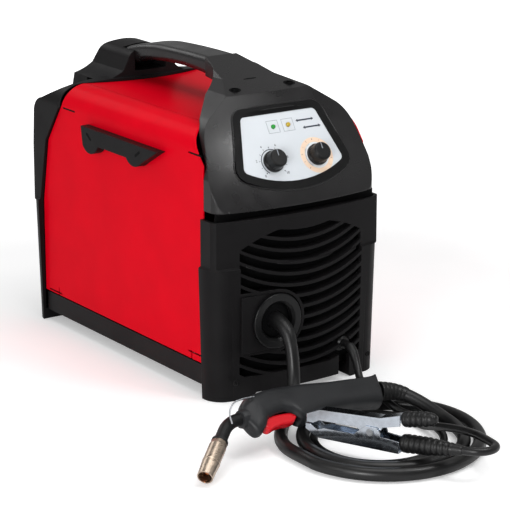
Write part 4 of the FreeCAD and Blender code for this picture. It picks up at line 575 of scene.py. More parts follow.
class Finishes:
    """Every finish on the machine."""

    COVER = Finish("cover_paint", (216, 2, 27), Relief.PAINT, 900, 0.012, 0.36, 0.02, shine=0.02, coat=0.015,
                   coat_rough=0.05, worn=(236, 70, 76), wear=0.35, dust=0.005, edge=0.6)
    TRAY = Finish("tray_steel", (18, 17, 18), Relief.PAINT, 1100, 0.02, 0.4, edge=0.8, shine=0.12)
    MOULDING = Finish("black_plastic", (22, 21, 22), Relief.SPARK, 1700, 0.04, 0.42, worn=(60, 60, 62),
                      edge=1.2, shine=0.1, dust=0.02)
    HOOD = Finish("hood_plastic", (24, 23, 24), Relief.SPARK, 1900, 0.03, 0.3, worn=(66, 66, 68), edge=1.8,
                  shine=0.45, dust=0.02)
    # Darker than the hood: painted shade on the wall of the panel's recess.
    SHADED_BORDER = Finish("border_shade", (10, 10, 11), Relief.SPARK, 1900, 0.03, 0.5, shine=0.15, wear=0.0)
    FILM = Finish("panel_film", (214, 219, 224), Relief.PAINT, 700, 0.004, 0.3, 0.015, shine=0.45, wear=0.0,
                  dust=0.0)
    KNOB = Finish("knob_plastic", (12, 12, 13), Relief.SPARK, 2400, 0.02, 0.34, edge=0.5)
    GREEN = Finish("lamp_green", (52, 190, 70), Relief.RUBBER, 900, 0.003, 0.12, 0.03, clear=0.35, shine=0.5)
    YELLOW = Finish("lamp_yellow", (238, 204, 60), Relief.RUBBER, 900, 0.003, 0.12, 0.03, clear=0.35,
                    shine=0.5)
    BOARD = Finish("board_green", (24, 98, 50), Relief.CAST, 900, 0.02, 0.35, 0.08)
    SHEET = Finish("sheet_steel", (176, 178, 182), Relief.BRUSHED, 1500, 0.008, 0.34, 0.08, edge=0.4,
                   metal=1.0)
    BRIGHT = Finish("bright_steel", (196, 203, 212), Relief.BRUSHED, 700, 0.008, 0.13, 0.05, edge=0.5,
                    metal=1.0, worn=(240, 240, 240))
    SPOOL = Finish("spool_plastic", (138, 141, 144), Relief.SPARK, 1500, 0.03, 0.5)
    WIRE = Finish("wire_copper", (205, 140, 96), Relief.WOUND, 200, 0.35, 0.25, 0.1, metal=1.0)
    FEEDER = Finish("feeder_plastic", (48, 49, 52), Relief.SPARK, 1600, 0.04, 0.5)
    ALLOY = Finish("feeder_metal", (196, 198, 202), Relief.CAST, 900, 0.05, 0.42, 0.08, metal=1.0)
    MOTOR = Finish("motor_steel", (140, 142, 148), Relief.BRUSHED, 1200, 0.01, 0.36, 0.08, edge=0.4,
                   metal=1.0)
    ROLL = Finish("roll_steel", (180, 181, 184), Relief.BRUSHED, 2000, 0.006, 0.24, 0.06, edge=0.4,
                  metal=1.0)
    SINK = Finish("heatsink_alloy", (206, 208, 211), Relief.BRUSHED, 1000, 0.02, 0.4, 0.07, edge=0.4,
                  metal=1.0)
    CORE = Finish("core_steel", (92, 80, 66), Relief.BRUSHED, 1800, 0.05, 0.5, 0.1, shine=0.4)
    BRASS = Finish("adapter_brass", (206, 172, 100), Relief.BRUSHED, 1300, 0.01, 0.28, 0.07, edge=0.4,
                   metal=1.0)
    SWITCH = Finish("switch_red", (206, 30, 24), Relief.PAINT, 900, 0.006, 0.25, 0.03, shine=0.5)
    CABLE = Finish("cable_rubber", (15, 15, 16), Relief.RUBBER, 1400, 0.03, 0.36, 0.06, shine=0.42,
                   dust=0.05)
    TORCH = Finish("torch_plastic", (34, 35, 37), Relief.SPARK, 1300, 0.06, 0.42, worn=(88, 88, 90),
                   edge=0.8)
    TRIGGER = Finish("trigger_red", (214, 20, 34), Relief.PAINT, 1200, 0.01, 0.22, 0.03, shine=0.5,
                     worn=(236, 110, 110), dust=0.0)
    NECK = Finish("neck_sleeve", (15, 15, 16), Relief.RUBBER, 1800, 0.03, 0.46)
    NOZZLE = Finish("nozzle_metal", (196, 178, 160), Relief.BRUSHED, 900, 0.02, 0.3, 0.08, edge=0.4,
                    metal=1.0, worn=(208, 146, 120), wear=0.5)
    TIP = Finish("tip_copper", (208, 134, 90), Relief.BRUSHED, 1600, 0.01, 0.28, 0.07, edge=0.4, metal=1.0)
    BOOT = Finish("boot_rubber", (14, 14, 15), Relief.RUBBER, 1500, 0.04, 0.42, 0.07, shine=0.4)
    INK = Finish("printing_ink", (52, 58, 70), Relief.RUBBER, 1500, 0.002, 0.45, 0.05, wear=0.0, dust=0.0)
    PALE_INK = Finish("pale_ink", (150, 156, 164), Relief.RUBBER, 1500, 0.002, 0.45, 0.04, wear=0.0,
                      dust=0.0)
    SCALE_INK = Finish("scale_ink", (246, 218, 192), Relief.RUBBER, 1500, 0.002, 0.45, 0.03, wear=0.0,
                       dust=0.0)
    WHITE_INK = Finish("white_ink", (236, 238, 240), Relief.RUBBER, 1500, 0.002, 0.42, 0.03, wear=0.0,
                       dust=0.0)
    # Near-black that paints the shade inside slits, slots, wells, the outlet's hole and the housing behind
    # the grille.
    PAINTED_SHADE = Finish("painted_shade", (8, 8, 9), Relief.CAST, 900, 0.02, 0.7, 0.05, shine=0.1, wear=0.0, dust=0.0)


def finish_piece(piece: bpy.types.Object, finish: Finish, body: str) -> bpy.types.Object:
    """Give a new piece its material, its body and its slot, and report it.

    Args:
        piece: the new piece.
        finish: its finish.
        body: the body it rides on.

    Returns:
        The same piece.
    """
    piece.data.materials.clear()
    piece.data.materials.append(finish.material())
    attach(piece, body)
    log.info("piece %s rides on %s", piece.name, body)
    return piece


class CadParts:
    """The construction model's own parts, which keep their shapes and get finishes."""

    FINISHES = {
        "base_tray": Finishes.TRAY, "front_moulding": Finishes.MOULDING, "outlet_plate": Finishes.MOULDING,
        "outlet_collar": Finishes.KNOB, "console_hood": Finishes.HOOD, "carry_handle": Finishes.HOOD,
        "rear_moulding": Finishes.MOULDING, "cover_shell": Finishes.COVER, "side_door": Finishes.COVER,
        "hinge_pin_front": Finishes.SHEET, "hinge_pin_rear": Finishes.SHEET, "latch_grip": Finishes.MOULDING,
        "control_panel": Finishes.FILM, "knob_left": Finishes.KNOB, "knob_right": Finishes.KNOB,
        "led_power": Finishes.GREEN, "led_alarm": Finishes.YELLOW, "control_board": Finishes.BOARD,
        "centre_partition": Finishes.SHEET, "wire_spool": Finishes.SPOOL, "welding_wire": Finishes.WIRE,
        "spool_hub": Finishes.FEEDER, "spool_retainer": Finishes.FEEDER, "feed_plate": Finishes.ALLOY,
        "feed_motor": Finishes.MOTOR, "drive_roll": Finishes.ROLL, "pressure_arm": Finishes.ALLOY,
        "pressure_roll": Finishes.ROLL, "tension_knob": Finishes.FEEDER, "wire_strand": Finishes.WIRE,
        "torch_adapter": Finishes.BRASS, "power_board": Finishes.BOARD, "heatsink": Finishes.SINK,
        "transformer": Finishes.CORE, "fan_frame": Finishes.FEEDER, "fan_rotor": Finishes.KNOB,
        "switch_frame": Finishes.KNOB, "power_switch": Finishes.SWITCH, "mains_gland": Finishes.KNOB,
        "gas_inlet": Finishes.BRASS, "torch_handle_left": Finishes.TORCH,
        "torch_handle_right": Finishes.TORCH, "torch_trigger": Finishes.TRIGGER,
        "swan_neck": Finishes.NECK, "gas_nozzle": Finishes.NOZZLE,
        "contact_tip": Finishes.TIP, "torch_hook": Finishes.SHEET, "earth_gland": Finishes.KNOB,
        "clamp_lower_jaw": Finishes.BRIGHT, "clamp_upper_jaw": Finishes.BRIGHT, "clamp_pin": Finishes.SHEET,
        "clamp_spring": Finishes.SHEET,
    }

    def __init__(self, nodes: dict[str, bpy.types.Object]) -> None:
        """Keep the loaded nodes by name."""
        self.nodes = nodes

    def dress(self) -> None:
        """Put each node's finish in its material slots."""
        for name, finish in self.FINISHES.items():
            node = self.nodes[name]
            if not node.material_slots:
                node.data.materials.append(None)
            for entry in node.material_slots:
                entry.material = finish.material()
        log.info("finished %d parts of the construction model", len(self.FINISHES))


# Cables, and where the two tools lie

TORCH = Place((-167.65, -340.7, 56.1), (0.9965, 0.055, -0.063), (-0.0045, 0.7875, 0.6164),
              (0.083, -0.614, 0.785))
CLAMP = Place((-109.1, -383.0, 18.4), (0.4195, -0.9078, 0.0), (0.9078, 0.4195, 0.0))


@dataclass(frozen=True)
class Coil:
    """Flat loops of quarter turns whose radii change from one to the next.

    Args:
        start: where the loops begin, with the cable running along -Y.
        radii: radius of each quarter turn.
        way: 1 for loops that run anticlockwise from above, -1 for clockwise.
        steps: control points in a quarter turn.
    """

    start: Point
    radii: tuple[float, ...]
    way: int
    steps: int = 4

    def points(self) -> list[Point]:
        """The loops' control points, each on its quarter's circle.

        The circle is widened by one over the cosine of half a step, because the spline cuts inside it.

        Returns:
            The points in order.
        """
        here, heading, found = np.array(self.start), np.array([0.0, -1.0, 0.0]), []
        widened = 1 / math.cos(math.pi / 4 / self.steps)
        for radius in self.radii:
            aside = np.array([-heading[1], heading[0], 0.0]) * self.way
            centre = here + aside * radius
            for step in range(self.steps):
                angle = (step + 0.5) * math.pi / 2 / self.steps
                spoke = heading * math.sin(angle) - aside * math.cos(angle)
                found.append(tuple(centre + spoke * radius * widened))
            here, heading = centre + heading * radius, aside
        return found


@dataclass(frozen=True)
class Cable:
    """A free cable that follows one smooth curve through its route.

    Args:
        name: the piece's name.
        route: control points.
        radius: half its thickness.
        length: its real length. Not used.
        stiffness: limp, medium or stiff. Not used.
        replaces: the construction model's tubes that it stands for.
        tools: the pieces at its far end. Not used.
        order: the spline's order, 3 for a curve that bends evenly.
        curve_steps: points between two control points.
        ring_steps: how finely its round section is divided.
    """

    name: str
    route: list[Point]
    radius: float
    length: float
    stiffness: str
    replaces: tuple[str, ...]
    tools: tuple[str, ...]
    order: int = 3
    curve_steps: int = 8
    ring_steps: int = 7

    def build(self) -> bpy.types.Object:
        """Make the curve: one open spline whose ends are its first and last points.

        Returns:
            The new piece, still without thickness.
        """
        data = bpy.data.curves.new(self.name, "CURVE")
        data.dimensions = "3D"
        spline = data.splines.new("NURBS")
        spline.points.add(len(self.route) - 1)
        points = np.column_stack([np.array(self.route) * MM, np.ones(len(self.route))])
        spline.points.foreach_set("co", points.astype(np.float32).ravel())
        spline.order_u = self.order
        spline.use_endpoint_u = True
        spline.resolution_u = self.curve_steps
        piece = bpy.data.objects.new(self.name, data)
        bpy.context.scene.collection.objects.link(piece)
        return piece

    def line(self, piece: bpy.types.Object) -> np.ndarray:
        """The curve's own points, read before it gets its thickness.

        Args:
            piece: the cable's curve.

        Returns:
            One row in metres for each point.
        """
        graph = bpy.context.evaluated_depsgraph_get()
        mesh = bpy.data.meshes.new_from_object(piece.evaluated_get(graph))
        found = np.zeros(len(mesh.vertices) * 3)
        mesh.vertices.foreach_get("co", found)
        bpy.data.meshes.remove(mesh)
        return found.reshape(-1, 3)

    def finish(self, piece: bpy.types.Object) -> bpy.types.Object:
        """Args:
            piece: the cable's curve.

        Returns:
            The same piece.
        """
        piece.data.bevel_depth = self.radius * MM
        piece.data.bevel_resolution = self.ring_steps
        piece.data.use_fill_caps = True
        finish_piece(piece, Finishes.CABLE, "housing")
        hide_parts(*self.replaces)
        return piece


@dataclass(frozen=True)
class Sleeve:
    """A rubber sleeve that tapers along a cable, with rings moulded round it.

    Args:
        name: the piece's name.
        start: distance from the cable's first point to the sleeve.
        length: the sleeve's length.
        thick: radius at its wide end.
        thin: radius at its narrow end.
        rings: number of rings.
        ring_depth: how far a ring stands out.
        flat: a direction that this part of the cable never runs along.
        from_end: whether distances are taken from the cable's last point.
        ring_steps: points along one ring.
        flat_top: how much a ring's sine is raised before it is cut off at one.
        fade: share of the length where the rings end, and how steeply they do.
    """

    name: str
    start: float
    length: float
    thick: float
    thin: float
    rings: int
    ring_depth: float
    flat: Point
    from_end: bool = False
    ring_steps: int = 14
    flat_top: float = 1.6
    fade: tuple[float, float] = (1.05, 6.0)

    def build(self, line: np.ndarray) -> bpy.types.Object:
        """Make the sleeve.

        Its radius runs evenly from thick to thin, plus a ring's depth times a squared sine of the distance,
        which is raised, cut off at one and faded out at the narrow end.

        Args:
            line: the cable's own points in metres.

        Returns:
            The new piece.
        """
        path = line[::-1] if self.from_end else line
        steps = np.linalg.norm(np.diff(path, axis=0), axis=1)
        travelled = np.concatenate([[0.0], np.cumsum(steps)]) / MM
        share = np.linspace(0.0, 1.0, self.ring_steps * self.rings)
        spots = self.start + share * self.length
        centre = np.column_stack([np.interp(spots, travelled, path[:, axis]) for axis in range(3)])
        ripple = np.clip(np.sin(share * self.rings * math.pi) ** 2 * self.flat_top, 0, 1)
        ripple *= np.clip((self.fade[0] - share) * self.fade[1], 0, 1)
        radius = self.thick + (self.thin - self.thick) * share + self.ring_depth * ripple
        return tube_along(self.name, centre, radius * MM, self.flat)


class Cables:
    """The torch's cable and the earth cable, with their sleeves."""

    torch_route = [
        (-38.5, -208.7, 90.0), (-38.5, -235.0, 90.0), (-39.0, -250.0, 68.0), (-41.5, -258.0, 36.0),
        (-51.5, -271.0, 14.0), (-72.5, -289.0, 7.7), (-100.0, -320.0, 7.7), (-127.0, -352.0, 7.7),
        (-139.0, -378.0, 7.7), (-141.5, -396.0, 7.7), (-141.5, -411.5, 7.7), (-141.5, -424.0, 7.7),
    ]
    torch_coil = Coil((-141.5, -426.5, 7.7), (98.0, 117.75, 89.5, 109.25, 79.0), 1)
    torch_tail = [
        (-43.0, -505.5, 7.7), (-30.5, -505.5, 7.7), (-18.0, -505.5, 7.7), (3.0, -497.0, 7.7),
        (25.0, -482.0, 7.7), (42.0, -460.0, 7.8), (52.0, -434.0, 8.2), (54.0, -406.0, 11.0),
        (50.0, -376.0, 19.0), (38.0, -354.0, 27.0), (14.8, -347.2, 31.6), (0.85, -347.9, 32.5),
    ]
    earth_route = [
        (61.0, -215.7, 43.5), (61.0, -229.0, 43.5), (60.0, -240.0, 28.5), (55.0, -254.0, 11.5),
        (45.0, -276.0, 6.0), (32.0, -295.0, 15.0), (24.0, -314.0, 22.5), (24.0, -333.0, 22.0),
        (28.0, -347.0, 12.5), (34.0, -359.0, 6.0), (39.0, -375.0, 4.7), (39.0, -391.0, 4.7),
        (39.0, -398.0, 4.7),
    ]
    earth_coil = Coil((39.0, -400.0, 4.7), (84.0, 65.0, 85.0, 54.0), -1)
    earth_tail = [
        (29.0, -390.0, 4.7), (29.0, -397.0, 4.7), (29.0, -405.0, 4.7), (27.0, -418.0, 8.0),
        (24.0, -434.0, 13.5), (23.0, -456.0, 19.0), (24.0, -480.0, 23.0), (22.0, -505.0, 26.5),
        (15.0, -529.0, 29.5), (8.2, -551.5, 32.0), (2.4, -561.0, 33.0), (-7.4, -566.2, 33.6),
        (-18.5, -565.6, 34.0), (-27.43, -559.74, 33.92), (-32.45, -548.88, 33.08),
    ]

    def build(self) -> None:
        """Make both cables, and the sleeves from the cables' own lines."""
        torch_points = self.torch_route + self.torch_coil.points() + self.torch_tail
        earth_points = self.earth_route + self.earth_coil.points() + self.earth_tail
        torch = Cable("torch_cable", torch_points, 7.5, 1328.0, "stiff",
                      ("torch_cable_lead", "torch_cable_coil", "torch_cable_tail"),
                      ("handle_half_left", "handle_half_right", "trigger_bar", "neck_collar", "swan_neck",
                       "gas_nozzle", "nozzle_band", "nozzle_ring", "contact_tip", "torch_hook"))
        earth = Cable("earth_cable", earth_points, 4.5, 892.0, "medium",
                      ("earth_cable_lead", "earth_cable_coil", "earth_cable_tail"),
                      ("lower_grip", "upper_grip", "clamp_lower_jaw", "clamp_upper_jaw", "clamp_pin",
                       "clamp_spring"))
        torch_sleeves = (Sleeve("torch_outlet_sleeve", 2.0, 44.0, 10.5, 7.8, 6, 0.0, (1, 0, 0)),
                         Sleeve("torch_tail_sleeve", 10.0, 34.0, 11.0, 8.1, 6, 0.3, (0, 0, 1), True))
        earth_sleeves = (Sleeve("earth_outlet_sleeve", 11.0, 20.0, 5.8, 4.8, 5, 0.0, (1, 0, 0)),)
        for cable, sleeves in ((torch, torch_sleeves), (earth, earth_sleeves)):
            piece = cable.build()
            line = cable.line(piece)
            cable.finish(piece)
            for sleeve in sleeves:
                finish_piece(sleeve.build(line), Finishes.BOOT, "housing")


# Housing details

@dataclass(frozen=True)
class Screw:
    """A domed screw head with a cross recess.

    Args:
        name: the piece's name.
        place: the middle of its seat, with its own outward direction.
        radius: radius of the head.
        height: height of the head above its seat.
        dome: share of the height that the head falls by towards its rim.
        bar: half width of the cross's two bars, as a share of the radius.
        reach: how far the bars reach, likewise.
        sunk: how deep they are, as a share of the height.
        root: radius of the face below the head, as a share of the radius.
        rows: points from the middle to the rim.
        sides: points round the rim.
    """

    name: str
    place: Place
    radius: float = 3.6
    height: float = 2.0
    dome: float = 0.55
    bar: float = 0.13
    reach: float = 0.62
    sunk: float = 0.5
    root: float = 0.2
    rows: int = 12
    sides: int = 48

    def build(self) -> bpy.types.Object:
        """Make the head.

        The height falls with the fourth power of the distance from the middle, and drops by half of the head
        inside two crossed bars.

        Returns:
            The new piece.
        """
        share = np.concatenate([np.linspace(0, 1, self.rows), [1.0]])[:, None]
        angle = around(self.sides)[None, :]
        x, y = share * np.cos(angle), share * np.sin(angle)
        cross = (np.minimum(np.abs(x), np.abs(y)) < self.bar) & (share < self.reach)
        height = self.height * (1 - self.dome * share ** 4) - self.sunk * self.height * cross
        height[-1] = 0.0
        local = np.stack([x * self.radius, y * self.radius, height], -1)
        rim = local[-1:] * np.array([self.root, self.root, 0.0])
        return surface(self.name, self.place.world(np.concatenate([local, rim])), crease_deg=35)


@dataclass(frozen=True)
class HousingTrim:
    """Screws of the housing, and near-black pieces that paint the shade in the slits and slots of its door
    and latch, in its wells, in the torch's outlet and behind the grille.

    Args:
        front_screws: X and Z of the screws low on the front pillars.
        pillar_face: Y of the pillars' faces.
        hood_wells: X of the hood's two wells.
        well_y: Y of both wells.
        well_top: Z of their rims.
        well_radius: radius of a well.
        well_depth: depth of a well's floor below its rim.
        cup_wall: thickness of the cup in a well, painted near-black for the shade there.
        door_face: X of the door's face.
        latch_face: X of the latch's face.
        door_slits: Y, Z, length and width of the slits in the door.
        latch_slots: Y, Z and slant of the slots in the latch's face.
        latch_slot_size: length and width of a slot.
        outlet: X and Z of the torch's outlet.
        shade_sheet_y: Y of the back of the near-black sheet behind the grille, which paints the shade inside
            the housing.
        shade_sheet_box: its left, right, low and high sides.
        shade_sheet_hole: radius of its hole for the torch's fitting.
        shade_sheet_thick: its thickness.
        shade_ring_y: Y of the near-black ring in the outlet, which paints the shade of its hole.
    """

    front_screws: Line = ((-93.8, 24.6), (93.8, 24.6))
    pillar_face: float = -217.2
    hood_wells: tuple[float, ...] = (-37.9, 37.9)
    well_y: float = -134.0
    well_top: float = 346.6
    well_radius: float = 4.4
    well_depth: float = 11.0
    cup_wall: float = 0.6
    door_face: float = -112.05
    latch_face: float = -123.85
    door_slits: tuple[tuple[float, ...], ...] = ((-166.0, 284.0, 24.0, 2.0), (118.5, 284.0, 29.0, 2.0))
    latch_slots: tuple[Point, ...] = ((-58.6, 265.0, 34.0), (52.2, 264.5, -34.0))
    latch_slot_size: tuple[float, float] = (13.0, 3.2)
    outlet: tuple[float, float] = (-38.5, 90.0)
    shade_sheet_y: float = -199.5
    shade_sheet_box: tuple[float, ...] = (-110.5, 110.5, 16.0, 231.0)
    shade_sheet_hole: float = 22.0
    shade_sheet_thick: float = 1.2
    shade_ring_y: float = -214.5

    def build(self) -> None:
        """Make every piece of trim."""
        self.front_heads()
        self.wells()
        self.slits()
        self.shade_sheets()

    def front_heads(self) -> None:
        """Screws low on the front pillars."""
        for index, (x, z) in enumerate(self.front_screws):
            place = Place((x, self.pillar_face, z), (1, 0, 0), (0, 0, 1), (0, -1, 0))
            head = Screw(f"front_screw_{index + 1}", place, 3.4, 1.6).build()
            finish_piece(head, Finishes.TRAY, "housing")

    def wells(self) -> None:
        """Near-black cups that paint the shade in the hood's two wells, with screws at the bottom."""
        outer, inner, floor = self.well_radius, self.well_radius - self.cup_wall, -self.well_depth
        profile = [(0, -14), (outer, -14), (outer, -1.5), (inner, -1.5), (inner, floor), (0, floor)]
        for index, x in enumerate(self.hood_wells):
            place = Place((x, self.well_y, self.well_top))
            # The cup is painted shade: near-black inside the well, where the shade falls.
            cup = lathe(f"hood_well_{index + 1}", place, profile)
            finish_piece(cup, Finishes.PAINTED_SHADE, "housing")
            head = Screw(f"hood_screw_{index + 1}", place.at(0, 0, floor), 3.3, 2.0).build()
            finish_piece(head, Finishes.SHEET, "housing")

    def slits(self) -> None:
        """Near-black plates that paint the shade in short slits pressed in the door and in slanted slots
        sunk in the latch's face.
        """
        facing = ((0, -1, 0), (0, 0, 1), (-1, 0, 0))
        for index, (y, z, length, width) in enumerate(self.door_slits):
            place = Place((self.door_face, y, z), *facing)
            # Each slit is a near-black plate on the door that paints the shade inside it.
            slit = plate(f"door_slit_{index + 1}", place, rounded_bar(length, width), -0.2, 0.05)
            finish_piece(slit, Finishes.PAINTED_SHADE, "door")
        for index, (y, z, tilt) in enumerate(self.latch_slots):
            # Each slot is a near-black plate on the latch that paints the shade inside it.
            place = Place((self.latch_face, y, z), *facing)
            outline = rounded_bar(*self.latch_slot_size, tilt)
            slot = plate(f"latch_slot_{index + 1}", place, outline, -0.4, 0.1)
            finish_piece(slot, Finishes.PAINTED_SHADE, "latch")

    def shade_sheets(self) -> None:
        """The near-black sheet behind the grille, which paints the shade inside the housing, and the
        near-black ring in the torch's outlet, which paints the shade of its hole.

        The sheet is a ring of sections round its hole. On each of them the outer edge is where a ray from
        the hole's middle meets the nearer of the box's sides.
        """
        facing = ((1, 0, 0), (0, 0, 1), (0, -1, 0))
        outlet_x, outlet_z = self.outlet
        middle = Place((outlet_x, self.shade_sheet_y, outlet_z), *facing)
        left, right, low, high = np.array(self.shade_sheet_box) - np.repeat(self.outlet, 2)
        angle = around(96)
        c, s = np.cos(angle), np.sin(angle)
        away_x = np.where(c > 0, right, left) / np.where(np.abs(c) < 1e-9, 1e-9, c)
        away_z = np.where(s > 0, high, low) / np.where(np.abs(s) < 1e-9, 1e-9, s)
        reach = np.minimum(np.abs(away_x), np.abs(away_z))
        hole, thick = self.shade_sheet_hole, self.shade_sheet_thick
        rows = [np.column_stack([edge * c, edge * s, np.full(angle.size, height)])
                for edge, height in ((hole, 0.0), (hole, thick), (reach, thick), (reach, 0.0))]
        # The sheet is painted shade: the inside of the housing shows near-black through the grille.
        screen = surface("grille_shade_sheet", middle.world(np.stack(rows)), wrap_rows=True)
        finish_piece(screen, Finishes.PAINTED_SHADE, "housing")
        # A near-black ring over the brass fitting, which paints the deep shade in the outlet's hole.
        profile = [(20.7, -2.0), (20.7, 0.0), (18.5, 1.0), (10.4, 0.4), (10.4, -2.0)]
        shade_ring = lathe("outlet_shade_ring", Place((outlet_x, self.shade_ring_y, outlet_z), *facing), profile, 64)
        finish_piece(shade_ring, Finishes.PAINTED_SHADE, "housing")


@dataclass(frozen=True)
class ControlFace:
    """The printed face of the control panel, its scales and the marks on the knobs.

    Args:
        lean: how far the panel leans back, in radians.
        top_y: Y of the middle of its top edge.
        top_z: Z of it.
        knob_drop: distance of both knobs down the panel.
        left_x: X of the left knob.
        right_x: X of the right knob.
        ink_low: height of the prints' backs above the panel's plane.
        ink_high: height of their faces, just proud of the film.
        figure_size: height of the figures' letter box.
        figure_ring: radius of the circle that they stand on.
        lamp_drop: distance of both lamps down the panel.
        frame_side: length of a lamp frame's sides.
        frame_line: thickness of its lines.
    """

    lean: float = math.radians(32.0)
    top_y: float = -161.7
    top_z: float = 317.7
    knob_drop: float = 58.0
    left_x: float = -26.5
    right_x: float = 34.6
    ink_low: float = 1.9
    ink_high: float = 2.12
    figure_size: float = 4.2
    figure_ring: float = 21.6
    lamp_drop: float = 17.0
    frame_side: float = 15.4
    frame_line: float = 0.5

    def face(self, x: float, drop: float, out: float = 0.0) -> Place:
        """A place on the leaning panel: right, up along it and out of it.

        Args:
            x: distance to the right of its middle.
            drop: distance down the panel from its top edge.
            out: distance out of the panel.

        Returns:
            The place.
        """
        up = (0.0, math.sin(self.lean), math.cos(self.lean))
        outward = (0.0, -math.cos(self.lean), math.sin(self.lean))
        return Place((0.0, self.top_y, self.top_z), (1, 0, 0), up, outward).at(x, -drop, out)

    def mark(self, name: str, x: float, drop: float, outline: Outline, ink: Finish) -> None:
        """Print one mark: a flat prism that stands just proud of the film.

        Args:
            name: the piece's name.
            x: where it stands across the panel.
            drop: where it stands down the panel.
            outline: its corners in order.
            ink: its finish.
        """
        piece = plate(name, self.face(x, drop), outline, self.ink_low, self.ink_high)
        finish_piece(piece, ink, "housing")

    def build(self) -> None:
        """Print the scales, frames and arrows, and mark the knobs."""
        self.scales()
        self.frames()
        self.numbers()
        self.pointers()

    def scales(self) -> None:
        """A grey arc with ticks for the left knob, and a wide pale ring with ticks for the right one.

        The ticks run clockwise from low on the left, 27 degrees apart, and every fifth is twice as wide.
        """
        for name, x, sector, ink in (
                ("left_scale_arc", self.left_x, (14.6, 15.6, 20, 235, 40), Finishes.INK),
                ("right_scale_ring", self.right_x, (15.9, 21.8, -89.9, 270, 90), Finishes.SCALE_INK),
                ("right_scale_dial", self.right_x, (12.6, 15.9, -89.9, 270, 90), Finishes.WHITE_INK),
                ("right_scale_arc", self.right_x, (14.6, 15.6, 110, 232, 30), Finishes.PALE_INK)):
            self.mark(name, x, self.knob_drop, ring_sector(*sector), ink)
        for side, x, inner, outer in (("left", self.left_x, 16.6, 18.4),
                                      ("right", self.right_x, 18.6, 20.6)):
            for step in range(11):
                angle = 225 - 27 * step
                half = 1.6 if step % 5 == 0 else 0.8
                tick = ring_sector(inner, outer, angle - half, angle + half, 3)
                self.mark(f"{side}_tick_{step}", x, self.knob_drop, tick, Finishes.INK)

    def frames(self) -> None:
        """Thin frames round the two lamps, and two bars with an arrowhead at each end."""
        side, line = self.frame_side, self.frame_line
        sides = {"top": (0, 7.4, side, line), "low": (0, -7.4, side, line),
                 "left": (-7.6, 0, line, 15.0), "right": (7.6, 0, line, 15.0)}
        for label, x in (("power", -11.5), ("alarm", 9.3)):
            for way, (dx, dy, w, h) in sides.items():
                box = [(dx - w / 2, dy - h / 2), (dx + w / 2, dy - h / 2), (dx + w / 2, dy + h / 2),
                       (dx - w / 2, dy + h / 2)]
                self.mark(f"{label}_frame_{way}", x, self.lamp_drop, box, Finishes.PALE_INK)
        bar = [(-12.5, 0), (-9.5, 2), (-9.5, 0.9), (9.5, 0.9), (9.5, 2), (12.5, 0), (9.5, -2), (9.5, -0.9),
               (-9.5, -0.9), (-9.5, -2)]
        for index, (x, drop) in enumerate(((33.5, 13.8), (40.5, 23.2))):
            self.mark(f"range_arrow_{index + 1}", x, drop, bar, Finishes.INK)

    def numbers(self) -> None:
        """Plain figures round the left scale, one beside every second tick."""
        for step, figure in enumerate(("0", "2", "4", "6", "8", "10")):
            angle = math.radians(225 - 54 * step)
            words = bpy.data.curves.new(f"figure_{figure}", "FONT")
            words.body, words.size, words.extrude = figure, self.figure_size, 0.1
            words.align_x, words.align_y = "CENTER", "CENTER"
            lettered = bpy.data.objects.new(f"figure_{figure}", words)
            mesh = bpy.data.meshes.new_from_object(lettered)
            bpy.data.objects.remove(lettered)
            corners = np.zeros(len(mesh.vertices) * 3)
            mesh.vertices.foreach_get("co", corners)
            spot = self.face(self.left_x + self.figure_ring * math.cos(angle),
                             self.knob_drop - self.figure_ring * math.sin(angle), 2.02)
            mesh.vertices.foreach_set("co", spot.world(corners.reshape(-1, 3)).astype(np.float32).ravel())
            piece = bpy.data.objects.new(f"scale_figure_{figure}", mesh)
            bpy.context.scene.collection.objects.link(piece)
            finish_piece(piece, Finishes.INK, "housing")

    def pointers(self) -> None:
        """A pale line inlaid in each knob's groove."""
        line = [(-0.55, 2.6), (0.55, 2.6), (0.55, 10.2), (-0.55, 10.2)]
        for side, x in (("left", self.left_x), ("right", self.right_x)):
            piece = plate(f"knob_{side}_pointer", self.face(x, self.knob_drop), line, 16.3, 17.05)
            finish_piece(piece, Finishes.PALE_INK, f"knob_{side}")


